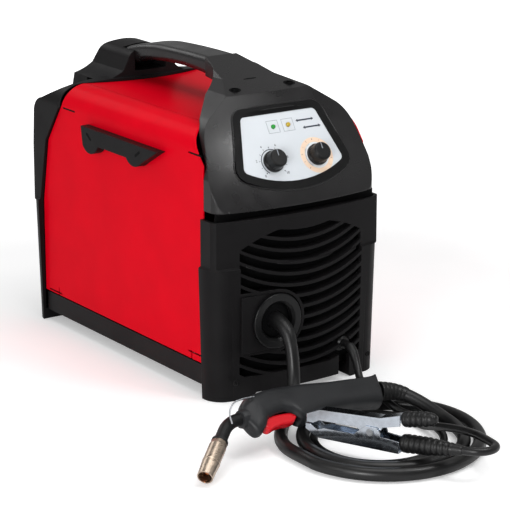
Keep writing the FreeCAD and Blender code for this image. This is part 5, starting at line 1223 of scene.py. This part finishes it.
@dataclass(frozen=True)
class HoodMarks:
    """What follows the hood's skin: the panel's sunk border, its bead, the wells' rims and the top slot. The
    border, the rims and the slot are painted dark for the shade in those recesses.

    Args:
        hood: the construction model's hood, whose skin is measured with rays.
        round_mm: corner radius of the panel's opening.
        border: width of the border, painted darker than the hood for the shade on the recess's wall.
        half_top: half the opening's width along its top edge.
        half_low: half its width where the bowed low edge starts.
        side_drop: length of the opening's sides down the panel.
        full_drop: how far down its low edge reaches in the middle.
        ray_start: height in metres from which points are dropped.
        film_cover: least height of the border above the panel's plane, which clears the film.
        border_rings: distances from the panel of the border's rings inside its outer one.
        border_proud: how far the border stands off the hood.
        border_thick: its thickness.
        lip: heights of its inner edge above the panel's plane, face and back.
        bead_gap: distance from the border to the middle of the bead.
        bead_radius: radius of the bead.
        mark_level: height at which the marks on top are laid out before they are dropped onto the hood.
        mark_proud: how far they stand off it.
        mark_thick: their thickness.
        marks: name, X, Y, half sizes and the share of its middle hole, for each mark on top.
    """

    hood: bpy.types.Object
    round_mm: float = 7.0
    border: float = 9.0
    half_top: float = 52.3
    half_low: float = 70.4
    side_drop: float = 66.0
    full_drop: float = 85.0
    ray_start: float = 0.08
    film_cover: float = 2.6
    border_rings: tuple[float, ...] = (7.0, 5.0, 3.6, 3.0)
    border_proud: float = 0.15
    border_thick: float = 0.7
    lip: tuple[float, float] = (2.7, 1.9)
    bead_gap: float = 0.4
    bead_radius: float = 1.2
    mark_level: float = 345.0
    mark_proud: float = 0.12
    mark_thick: float = 0.6
    marks: tuple[tuple, ...] = (("well_rim_1", -37.9, -134.0, 7.6, 5.6, 0.62),
                                ("well_rim_2", 37.9, -134.0, 7.6, 5.6, 0.62),
                                ("top_slot", -3.0, -113.0, 9.0, 1.3, 0.05))

    @cached_property
    def tree(self) -> BVHTree:
        """The hood's faces, sorted for rays."""
        mesh = self.hood.data
        return BVHTree.FromPolygons([tuple(v.co) for v in mesh.vertices],
                                    [tuple(f.vertices) for f in mesh.polygons])

    def skin(self, points: np.ndarray, away: np.ndarray) -> np.ndarray:
        """Drop points onto the hood.

        Args:
            points: the points in metres.
            away: the direction that they come from, of length one.

        Returns:
            Where they land, or the points themselves where they miss it.
        """
        high = points + self.ray_start * away
        hits = [self.tree.ray_cast(Vector(spot), Vector(-away))[0] for spot in high.reshape(-1, 3)]
        landed = [tuple(hit) if hit else tuple(spot) for hit, spot in zip(hits, points.reshape(-1, 3))]
        return np.array(landed).reshape(points.shape)

    def outline(self) -> tuple[np.ndarray, np.ndarray]:
        """The panel's outline shrunk by the corner radius.

        Its low edge is an arc through the two low corners and the lowest point. A corner of the shrunk
        outline is repeated while the way out turns, so a step of the radius along the way out gives round
        corners.

        Returns:
            The points along right and up, and at each of them the way out.
        """
        turns, between = 5, 8
        sink = self.full_drop - self.side_drop
        bow = (self.half_low * self.half_low + sink * sink) / (2 * sink)
        reach = math.asin(self.half_low / bow)
        swing = np.linspace(-reach, reach, 15)
        bowl = np.column_stack([bow * np.sin(swing), bow - self.full_drop - bow * np.cos(swing)])
        corners = np.vstack([bowl, [[self.half_top, 0.0], [-self.half_top, 0.0]]])
        edges = np.roll(corners, -1, 0) - corners
        edges /= np.linalg.norm(edges, axis=1)[:, None]
        out = np.column_stack([edges[:, 1], -edges[:, 0]])
        before = np.roll(out, 1, 0)
        shrunk = corners - self.round_mm * (before + out) / (1 + (before * out).sum(1))[:, None]
        turn = np.linspace(0, 1, turns)[None, :, None]
        ways = before[:, None] * (1 - turn) + out[:, None] * turn
        ways /= np.linalg.norm(ways, axis=2)[..., None]
        share = np.linspace(0, 1, between + 2)[None, 1:-1, None]
        straight = shrunk[:, None] * (1 - share) + np.roll(shrunk, -1, 0)[:, None] * share
        spots = np.concatenate([np.repeat(shrunk[:, None], turns, 1), straight], 1).reshape(-1, 2)
        ways = np.concatenate([ways, np.repeat(out[:, None], between, 1)], 1).reshape(-1, 2)
        return spots, ways

    def panel_border(self) -> None:
        """The border that runs down from the hood to the panel, painted darker than the hood for the shade
        on the recess's wall, and the bead round it.

        Each ring of the border is the panel's outline moved outwards and dropped onto the hood. The bead is
        a circle carried round the border's outer edge.
        """
        face = ControlFace().face(0, 0)
        away = unit(face.world(np.array([0.0, 0.0, 1.0])) - face.world(np.zeros(3)))
        spots, ways = self.outline()

        def ring(offset: float) -> np.ndarray:
            """The panel's outline moved outwards by an offset, in metres on the panel's plane."""
            flat = spots + (self.round_mm + offset) * ways
            return face.world(np.column_stack([flat, np.zeros(len(flat))]))

        lift = away * MM
        inner = ring(-1.0)
        upper = []
        for offset in (self.border, *self.border_rings):
            flat = ring(offset)
            height = np.maximum(((self.skin(flat, away) - flat) * away).sum(1), self.film_cover * MM)
            upper.append(flat + (height + self.border_proud * MM)[:, None] * away)
        lower = [row - self.border_thick * lift for row in upper]
        edge = [inner + self.lip[0] * lift, inner + self.lip[1] * lift]
        rows = lower[:1] + upper + edge + lower[:0:-1]
        # The border is painted shade on the recess's wall.
        border = surface("panel_border", np.stack(rows), wrap_rows=True, crease_deg=60)
        finish_piece(border, Finishes.SHADED_BORDER, "housing")
        middle = self.border + self.bead_gap
        centre = self.skin(ring(middle), away)
        side = ring(middle + 1.0) - ring(middle)
        angle = around(12)[:, None, None]
        bead = centre + self.bead_radius * (np.cos(angle) * side + np.sin(angle) * lift)
        finish_piece(surface("panel_bead", bead, wrap_rows=True), Finishes.HOOD, "housing")

    def top_marks(self) -> None:
        """Near-black ovals that paint the shade in the rims sunk round the two wells, and in a short slot
        behind them.

        Each is a stack of ovals dropped onto the hood, the innermost at its neighbour's height, closed by
        the same ovals a little lower.
        """
        angle = around(40)
        up = np.array([0.0, 0.0, 1.0])
        for name, x, y, half_x, half_y, hole in self.marks:
            rows = []
            for scale in (1.0, 0.85, hole):
                across, along = scale * half_x * np.cos(angle), scale * half_y * np.sin(angle)
                flat = np.column_stack([x + across, y + along, np.full(angle.size, self.mark_level)]) * MM
                rows.append(self.skin(flat, up) + self.mark_proud * MM * up)
            rows[-1] = rows[-1] * np.array([1, 1, 0]) + rows[-2] * np.array([0, 0, 1])
            sunk = [row - self.mark_thick * MM * up for row in rows]
            # The rims and the slot are near-black: painted shade in the hollows.
            piece = surface(name, np.stack(sunk[:1] + rows + sunk[:0:-1]), wrap_rows=True, crease_deg=60)
            finish_piece(piece, Finishes.PAINTED_SHADE, "housing")

    def build(self) -> None:
        """Make every mark on the hood."""
        self.panel_border()
        self.top_marks()


# Torch and earth clamp

def squared_up(values: np.ndarray, power: float) -> np.ndarray:
    """Raise sines or cosines to a power and keep their signs, which squares up a circle.

    Args:
        values: the sines or cosines.
        power: below 1 for a section nearer to a square.

    Returns:
        As many values.
    """
    return np.sign(values) * np.abs(values) ** power


@dataclass(frozen=True)
class TorchTrim:
    """The torch's handle and trigger, and its collar, screws and bands.

    Args:
        nose_start: a point on the neck's straight end, in the torch's own frame.
        nose_end: where the gas nozzle starts, in the same frame.
        first_x: where the handle begins.
        last_x: where it ends.
        full_half: half its full width.
        grip_squareness: power of the sine and cosine of its section.
        pocket_x: where the trigger's pocket begins and ends.
        pocket_half: half the pocket's width.
        pocket_roof: height of its roof.
        top_line: the handle's top edge, distance and height.
        low_line: its low edge, likewise.
        trigger_x: where the trigger begins and ends.
        trigger_half: half its width.
        trigger_squareness: power of the sine and cosine of its section.
        trigger_top: its top edge.
        trigger_low: its low edge, hollowed under the finger.
    """

    nose_start: tuple[float, float] = (-33.0, -24.0)
    nose_end: tuple[float, float] = (-58.0, -47.6)
    first_x: float = -17.0
    last_x: float = 178.0
    full_half: float = 13.4
    grip_squareness: float = 0.72
    pocket_x: tuple[float, float] = (-0.5, 53.0)
    pocket_half: float = 6.4
    pocket_roof: float = -22.0
    top_line: Line = ((-17, -25), (-14, -15.5), (-9, -8), (-2, -2.5), (8, 0.2), (25, 2.6), (50, 3.6),
                      (80, 2.2), (112, -0.8), (150, -2.6), (178, -3.6))
    low_line: Line = ((-17, -25), (-14.5, -34), (-11.5, -43), (-8, -48), (-2, -47.5), (4, -43.5), (12, -34),
                      (24, -30.5), (36, -29.5), (46, -34), (53, -43.5), (58, -45), (66, -42.5), (78, -38.5),
                      (96, -37), (130, -37), (158, -39.5), (170, -41.5), (172.5, -33), (178, -8))
    trigger_x: tuple[float, float] = (3.1, 48.9)
    trigger_half: float = 5.9
    trigger_squareness: float = 0.5
    trigger_top: Line = ((3.1, -34.0), (8.0, -29.0), (45.0, -29.0), (48.9, -33.0))
    trigger_low: Line = ((3, -38.5), (4.5, -44), (8, -47), (12, -46), (18, -43.8), (28, -42.6), (38, -42.8),
                         (45, -41.8), (49, -37))

    def half_width(self, x: np.ndarray) -> np.ndarray:
        """Half the handle's width at each distance.

        It is full along the grip and drawn in as a quarter ellipse at each end: over 27 mm at the nose and
        over 17 mm at the tail, neither of them down to nothing.

        Args:
            x: distances along the handle.

        Returns:
            One half width for each.
        """
        nose = np.sqrt(np.clip(1 - np.clip((8 - x) / 27, 0, 1) ** 2, 0.12, 1))
        tail = np.sqrt(np.clip(1 - np.clip((x - 168) / 17, 0, 1) ** 2, 0.3, 1))
        return self.full_half * nose * tail

    def handle_half(self, name: str, node: str, way: int) -> None:
        """Make one half of the handle, closed along the split.

        At each station along the handle the section is half a rounded oval: its height runs between the low
        and the top line, both smoothed over three millimetres, its sine and cosine raised to a power. Inside
        the trigger's pocket the points near the split are lifted to the pocket's roof.

        Args:
            name: the piece's name.
            node: the construction model's half that it stands for.
            way: 1 for the half on the torch's own outer side, -1 for the other.
        """
        x = np.linspace(self.first_x, self.last_x, 196)
        x = np.unique(np.concatenate([x, np.array(self.pocket_x) + 0.02]))
        fine = np.linspace(self.first_x, self.last_x, 1561)
        window = np.ones(25) / 25
        lines = []
        for line in (self.top_line, self.low_line):
            spots, heights = np.array(line, float).T
            padded = np.pad(np.interp(fine, spots, heights), 12, mode="reflect", reflect_type="odd")
            lines.append(np.interp(x, fine, np.convolve(padded, window, "valid")))
        middle, half = (lines[0] + lines[1]) / 2, np.maximum((lines[0] - lines[1]) / 2, 0.4)
        angle = np.linspace(-math.pi / 2, math.pi / 2, 41)
        sine, cosine = np.sin(angle), np.clip(np.cos(angle), 0, 1)
        y = middle[:, None] + half[:, None] * squared_up(sine, self.grip_squareness)
        z = 0.12 + self.half_width(x)[:, None] * cosine ** self.grip_squareness
        inside = (x >= self.pocket_x[0]) & (x <= self.pocket_x[1])
        y = np.where(inside[:, None] & (z < self.pocket_half) & (y < self.pocket_roof), self.pocket_roof, y)
        grid = np.stack([np.repeat(x[:, None], angle.size, 1), y, z * way], -1)
        piece = surface(name, TORCH.world(grid), crease_deg=50)
        finish_piece(piece, Finishes.TORCH, "housing")
        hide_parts(node)

    def trigger(self) -> None:
        """Make the trigger: a bar hollowed under the finger, its section a rounded oblong.

        Its top stays level between its rounded ends, its low edge is smoothed over seven points, and the
        sine and cosine of the section are raised to a power.
        """
        x = np.linspace(*self.trigger_x, 70)
        low = np.interp(x, *np.array(self.trigger_low, float).T)
        low = np.convolve(np.pad(low, 3, mode="edge"), np.ones(7) / 7, "valid")
        top = np.interp(x, *np.array(self.trigger_top, float).T)
        middle, half = (top + low) / 2, (top - low) / 2
        angle = around(48)
        y = middle[:, None] + half[:, None] * squared_up(np.sin(angle), self.trigger_squareness)
        across = self.trigger_half * squared_up(np.cos(angle), self.trigger_squareness)
        z = np.broadcast_to(across, y.shape)
        grid = np.stack([np.repeat(x[:, None], angle.size, 1), y, z], -1)
        piece = surface("trigger_bar", TORCH.world(grid), crease_deg=50)
        finish_piece(piece, Finishes.TRIGGER, "trigger")
        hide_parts("torch_trigger")

    def build(self) -> None:
        """Make the trigger, both halves of the handle, and the trim."""
        self.trigger()
        self.handle_half("handle_half_left", "torch_handle_left", -1)
        self.handle_half("handle_half_right", "torch_handle_right", 1)
        self.collar_and_screws()
        self.nozzle_bands()

    def collar_and_screws(self) -> None:
        """The collar where the neck leaves the handle, and the screws in the handle's left half."""
        ahead, aside = tuple(-np.array(TORCH.right)), tuple(-np.array(TORCH.out))
        head = Place(tuple(TORCH.world((-8, -24.3, 0)) / MM), TORCH.up, TORCH.out, ahead)
        collar = lathe("neck_collar", head, [(6.8, -6), (10.8, -6), (10.6, 6), (9.6, 9.5), (6.8, 10.5)], 48)
        finish_piece(collar, Finishes.TORCH, "housing")
        for index, (x, y) in enumerate(((66.0, -30.0), (150.0, -28.0), (24.0, -8.0))):
            seat = Place(tuple(TORCH.world((x, y, -12.9)) / MM), TORCH.right, TORCH.up, aside)
            screw = Screw(f"handle_screw_{index + 1}", seat, 2.6, 1.0).build()
            finish_piece(screw, Finishes.SHEET, "housing")

    def nozzle_bands(self) -> None:
        """The dark band where the gas nozzle starts, and the bright ring near its end."""
        along = unit(np.subtract(self.nose_end, self.nose_start))
        outward = unit(along @ np.array([TORCH.right, TORCH.up]))
        side = np.array(TORCH.out)
        nose = Place(tuple(TORCH.world((*self.nose_end, 0)) / MM), tuple(unit(np.cross(outward, side))),
                     tuple(side), tuple(outward))
        profile = [(7.5, -3.5), (8.7, -3.5), (9.1, -2.6), (9.1, 0.2), (8.7, 0.9), (7.5, 0.9)]
        band = lathe("nozzle_band", nose, profile)
        finish_piece(band, Finishes.NECK, "housing")
        ring = lathe("nozzle_ring", nose, [(9.3, 30.0), (9.75, 30.4), (9.75, 31.6), (9.3, 32.0)], 40)
        finish_piece(ring, Finishes.NOZZLE, "housing")


@dataclass(frozen=True)
class ClampTrim:
    """Ribbed rubber grips of the earth clamp, in place of the plain ones of the construction model.

    Args:
        rib: half the height of a rib.
        rib_end: share of the grip's length where its ribs end.
        rib_steps: points along one rib.
    """

    rib: float = 0.3
    rib_end: float = 0.86
    rib_steps: int = 18

    def grip(self, name: str, start: Point, tilt_deg: float, profile: Outline, rings: int, body: str,
             node: str) -> None:
        """Make one grip.

        Its radius follows the profile, plus ribs: a cosine of the distance, doubled and cut off at one,
        which fades out towards both ends. Its section is a circle.

        Args:
            name: the piece's name.
            start: its beginning, in the clamp's own frame.
            tilt_deg: how far it leans from upright towards the cable.
            profile: pairs of distance and radius.
            rings: number of ribs over its whole length.
            body: the body it rides on.
            node: the construction model's grip that it stands for.
        """
        spots, radii = np.array(profile, float).T
        reach = np.linspace(spots[0], spots[-1], self.rib_steps * rings)
        radius = np.interp(reach, spots, radii)
        ring = np.clip(np.cos(reach / spots[-1] * rings * FULL_TURN) * 2, -1, 1) * self.rib
        fade = np.clip((spots[-1] * self.rib_end - reach) / 4, 0, 1) * np.clip((reach - 3) / 2, 0, 1)
        wavy = (radius + ring * fade)[:, None]
        angle = around(40)[None, :]
        tilt = math.radians(tilt_deg)
        along = np.array([math.sin(tilt), 0.0, math.cos(tilt)])
        raised = np.array([-math.cos(tilt), 0.0, math.sin(tilt)])
        centre = np.array(start) + reach[:, None] * along
        ring_points = (centre[:, None] + (wavy * np.sin(angle))[..., None] * raised
                       + (wavy * np.cos(angle))[..., None] * np.array([0.0, 1.0, 0.0]))
        piece = surface(name, CLAMP.world(ring_points))
        finish_piece(piece, Finishes.BOOT, body)
        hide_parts(node)

    def build(self) -> None:
        """Make both grips."""
        lower = [(0, 9.0), (1.5, 9.8), (3, 10.0), (30, 9.5), (55, 7.0), (68, 5.5), (70, 4.9)]
        upper = [(0, 7.5), (1.5, 8.3), (3, 8.5), (26, 8.0), (34, 6.8), (38, 4.4), (39, 2.0)]
        self.grip("lower_grip", (112.9, 0.0, 9.8), 86.0, lower, 11, "housing", "clamp_boot_lower")
        self.grip("upper_grip", (113.8, 0.0, 36.5), 80.0, upper, 6, "clamp_jaw", "clamp_boot_upper")


# Floor, lamps and camera

@dataclass(frozen=True)
class SoftLamp:
    """A square soft lamp, with its place, size and target in metres.

    Args:
        name: the lamp's name.
        place: where it hangs.
        target: where it is turned.
        size: length of its side.
        watts: its power.
    """

    name: str
    place: Point
    target: Point
    size: float
    watts: float

    def build(self) -> None:
        """Hang the lamp and turn it to its target."""
        data = bpy.data.lights.new(self.name, "AREA")
        data.shape, data.size, data.energy = "SQUARE", self.size, self.watts
        lamp = bpy.data.objects.new(self.name, data)
        bpy.context.scene.collection.objects.link(lamp)
        lamp.matrix_world = aimed(np.array(self.place), np.array(self.target) - np.array(self.place))


@dataclass(frozen=True)
class Studio:
    """A pale floor, soft lamps and the camera of the picture.

    Args:
        azimuth_deg: where the camera stands, 0 looking along +Y.
        elevation_deg: how high it stands above the horizon.
        eye: the camera's place.
        lens_mm: focal length on a sensor 36 mm wide.
        floor_half: half the floor's side, in metres.
        floor_drop: how far the floor lies below the machine's feet, in metres.
        floor_glow: light that the camera sees besides the floor's own, near the machine and far from it.
        glow_from: distances in metres between which that light changes.
        sky_light: strength of the sky's light on what it falls on.
        sky_mirrored: its strength in a reflection.
        lamps: the soft lamps.
    """

    azimuth_deg: float = -34.437
    elevation_deg: float = 15.929
    eye: Point = (-1483.9, -2283.5, 886.93)
    lens_mm: float = 163.1
    floor_half: float = 9.0
    floor_drop: float = 0.0003
    floor_glow: tuple[float, float] = (0.3, 1.0)
    glow_from: tuple[float, float] = (0.5, 1.6)
    sky_light: float = 0.36
    sky_mirrored: float = 0.3
    lamps: tuple[SoftLamp, ...] = (
        SoftLamp("lamp_above", (0.1, -0.5, 2.3), (0, 0, 0.2), 1.6, 18.0),
        SoftLamp("lamp_left", (-2.3, -0.6, 1.3), (0, 0, 0.2), 1.3, 10.0),
        SoftLamp("lamp_corner", (-1.5, -1.3, 0.45), (-0.1, -0.2, 0.25), 0.5, 14.0),
        SoftLamp("lamp_right", (2.2, -1.6, 1.3), (0, -0.1, 0.15), 1.0, 1.0),
        SoftLamp("lamp_front", (0.32, -0.96, 1.06), (-0.08, -0.19, 0.28), 0.3, 3.0),
        SoftLamp("lamp_behind", (-0.6, 2.3, 1.7), (0, 0, 0.25), 1.2, 8.0))

    def build(self) -> None:
        """Make the floor, the sky, the lamps and the camera."""
        bpy.context.scene.view_settings.view_transform = "Standard"
        self.floor()
        self.sky()
        for lamp in self.lamps:
            lamp.build()
        self.camera()

    def floor(self) -> None:
        """A wide square that the camera sees brighter than it is lit, more so far from the machine."""
        half, low = self.floor_half, -self.floor_drop
        corners = [(-half, -half, low), (half, -half, low), (half, half, low), (-half, half, low)]
        mesh = bpy.data.meshes.new("floor")
        mesh.from_pydata(corners, [], [(0, 1, 2, 3)])
        floor = bpy.data.objects.new("floor", mesh)
        bpy.context.scene.collection.objects.link(floor)
        material = bpy.data.materials.new("floor_paper")
        material.use_nodes = True
        graph = Graph(material.node_tree)
        material.node_tree.nodes.clear()
        spot = graph.spot()
        tone = graph.mapped(graph.noise(spot, 9.0, 3.0), 0.3, 0.7, 0.0, 1.0)
        paper = graph.blend(tone, (0.87, 0.87, 0.875, 1), (0.9, 0.9, 0.9, 1))
        seen = graph.add("ShaderNodeLightPath").outputs["Is Camera Ray"]
        away = graph.add("ShaderNodeVectorMath", {0: spot}, operation="LENGTH").outputs["Value"]
        glow = graph.maths("MULTIPLY", seen, graph.mapped(away, *self.glow_from, *self.floor_glow))
        shader = graph.add("ShaderNodeBsdfPrincipled", {
            "Base Color": paper, "Roughness": 0.9, "Specular IOR Level": 0.0, "Emission Color": (1, 1, 1, 1),
            "Emission Strength": glow})
        graph.add("ShaderNodeOutputMaterial", {"Surface": shader.outputs[0]})
        mesh.materials.append(material)

    def sky(self) -> None:
        """Plain soft light from all round: white to the camera, dimmer on the machine and in reflections."""
        world = bpy.data.worlds.new("studio")
        bpy.context.scene.world = world
        world.use_nodes = True
        world.node_tree.nodes.clear()
        graph = Graph(world.node_tree)
        path = graph.add("ShaderNodeLightPath").outputs
        mirrored = graph.maths("MAXIMUM", path["Is Glossy Ray"], path["Is Transmission Ray"])
        given = {0: mirrored, 2: self.sky_light, 3: self.sky_mirrored}
        light = graph.add("ShaderNodeMix", given, data_type="FLOAT").outputs[0]
        shown = {0: path["Is Camera Ray"], 2: light, 3: 1.0}
        strength = graph.add("ShaderNodeMix", shown, data_type="FLOAT").outputs[0]
        back = graph.add("ShaderNodeBackground", {"Color": (1, 1, 1, 1), "Strength": strength})
        graph.add("ShaderNodeOutputWorld", {"Surface": back.outputs[0]})

    def camera(self) -> None:
        """The camera, from its place, azimuth and elevation."""
        data = bpy.data.cameras.new("camera")
        data.sensor_width, data.lens = 36.0, self.lens_mm
        data.clip_start, data.clip_end = 0.05, 60.0
        camera = bpy.data.objects.new("camera", data)
        bpy.context.scene.collection.objects.link(camera)
        a, e = math.radians(self.azimuth_deg), math.radians(self.elevation_deg)
        ahead = -np.array([math.sin(a) * math.cos(e), -math.cos(a) * math.cos(e), math.sin(e)])
        camera.matrix_world = aimed(np.array(self.eye) * MM, ahead)
        bpy.context.scene.camera = camera


def aimed(place: np.ndarray, ahead: np.ndarray) -> Matrix:
    """The matrix of a lamp or camera that looks ahead with its top upwards.

    Args:
        place: where it stands, in metres.
        ahead: where it looks, which isn't straight up or down.

    Returns:
        The matrix.
    """
    ahead = unit(ahead)
    right = unit(np.cross(ahead, [0.0, 0.0, 1.0]))
    matrix = np.eye(4)
    matrix[:3] = np.column_stack([right, np.cross(right, ahead), -ahead, place])
    return Matrix(matrix.tolist())


def main() -> None:
    """Load the frame and build the sub-assemblies in order."""
    logging.basicConfig(level=logging.INFO, format="%(name)s: %(message)s")
    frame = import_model()
    Studio().build()
    CadParts(frame["nodes"]).dress()
    HousingTrim().build()
    HoodMarks(frame["nodes"]["console_hood"]).build()
    ControlFace().build()
    TorchTrim().build()
    ClampTrim().build()
    Cables().build()


if __name__ == "__main__":
    main()
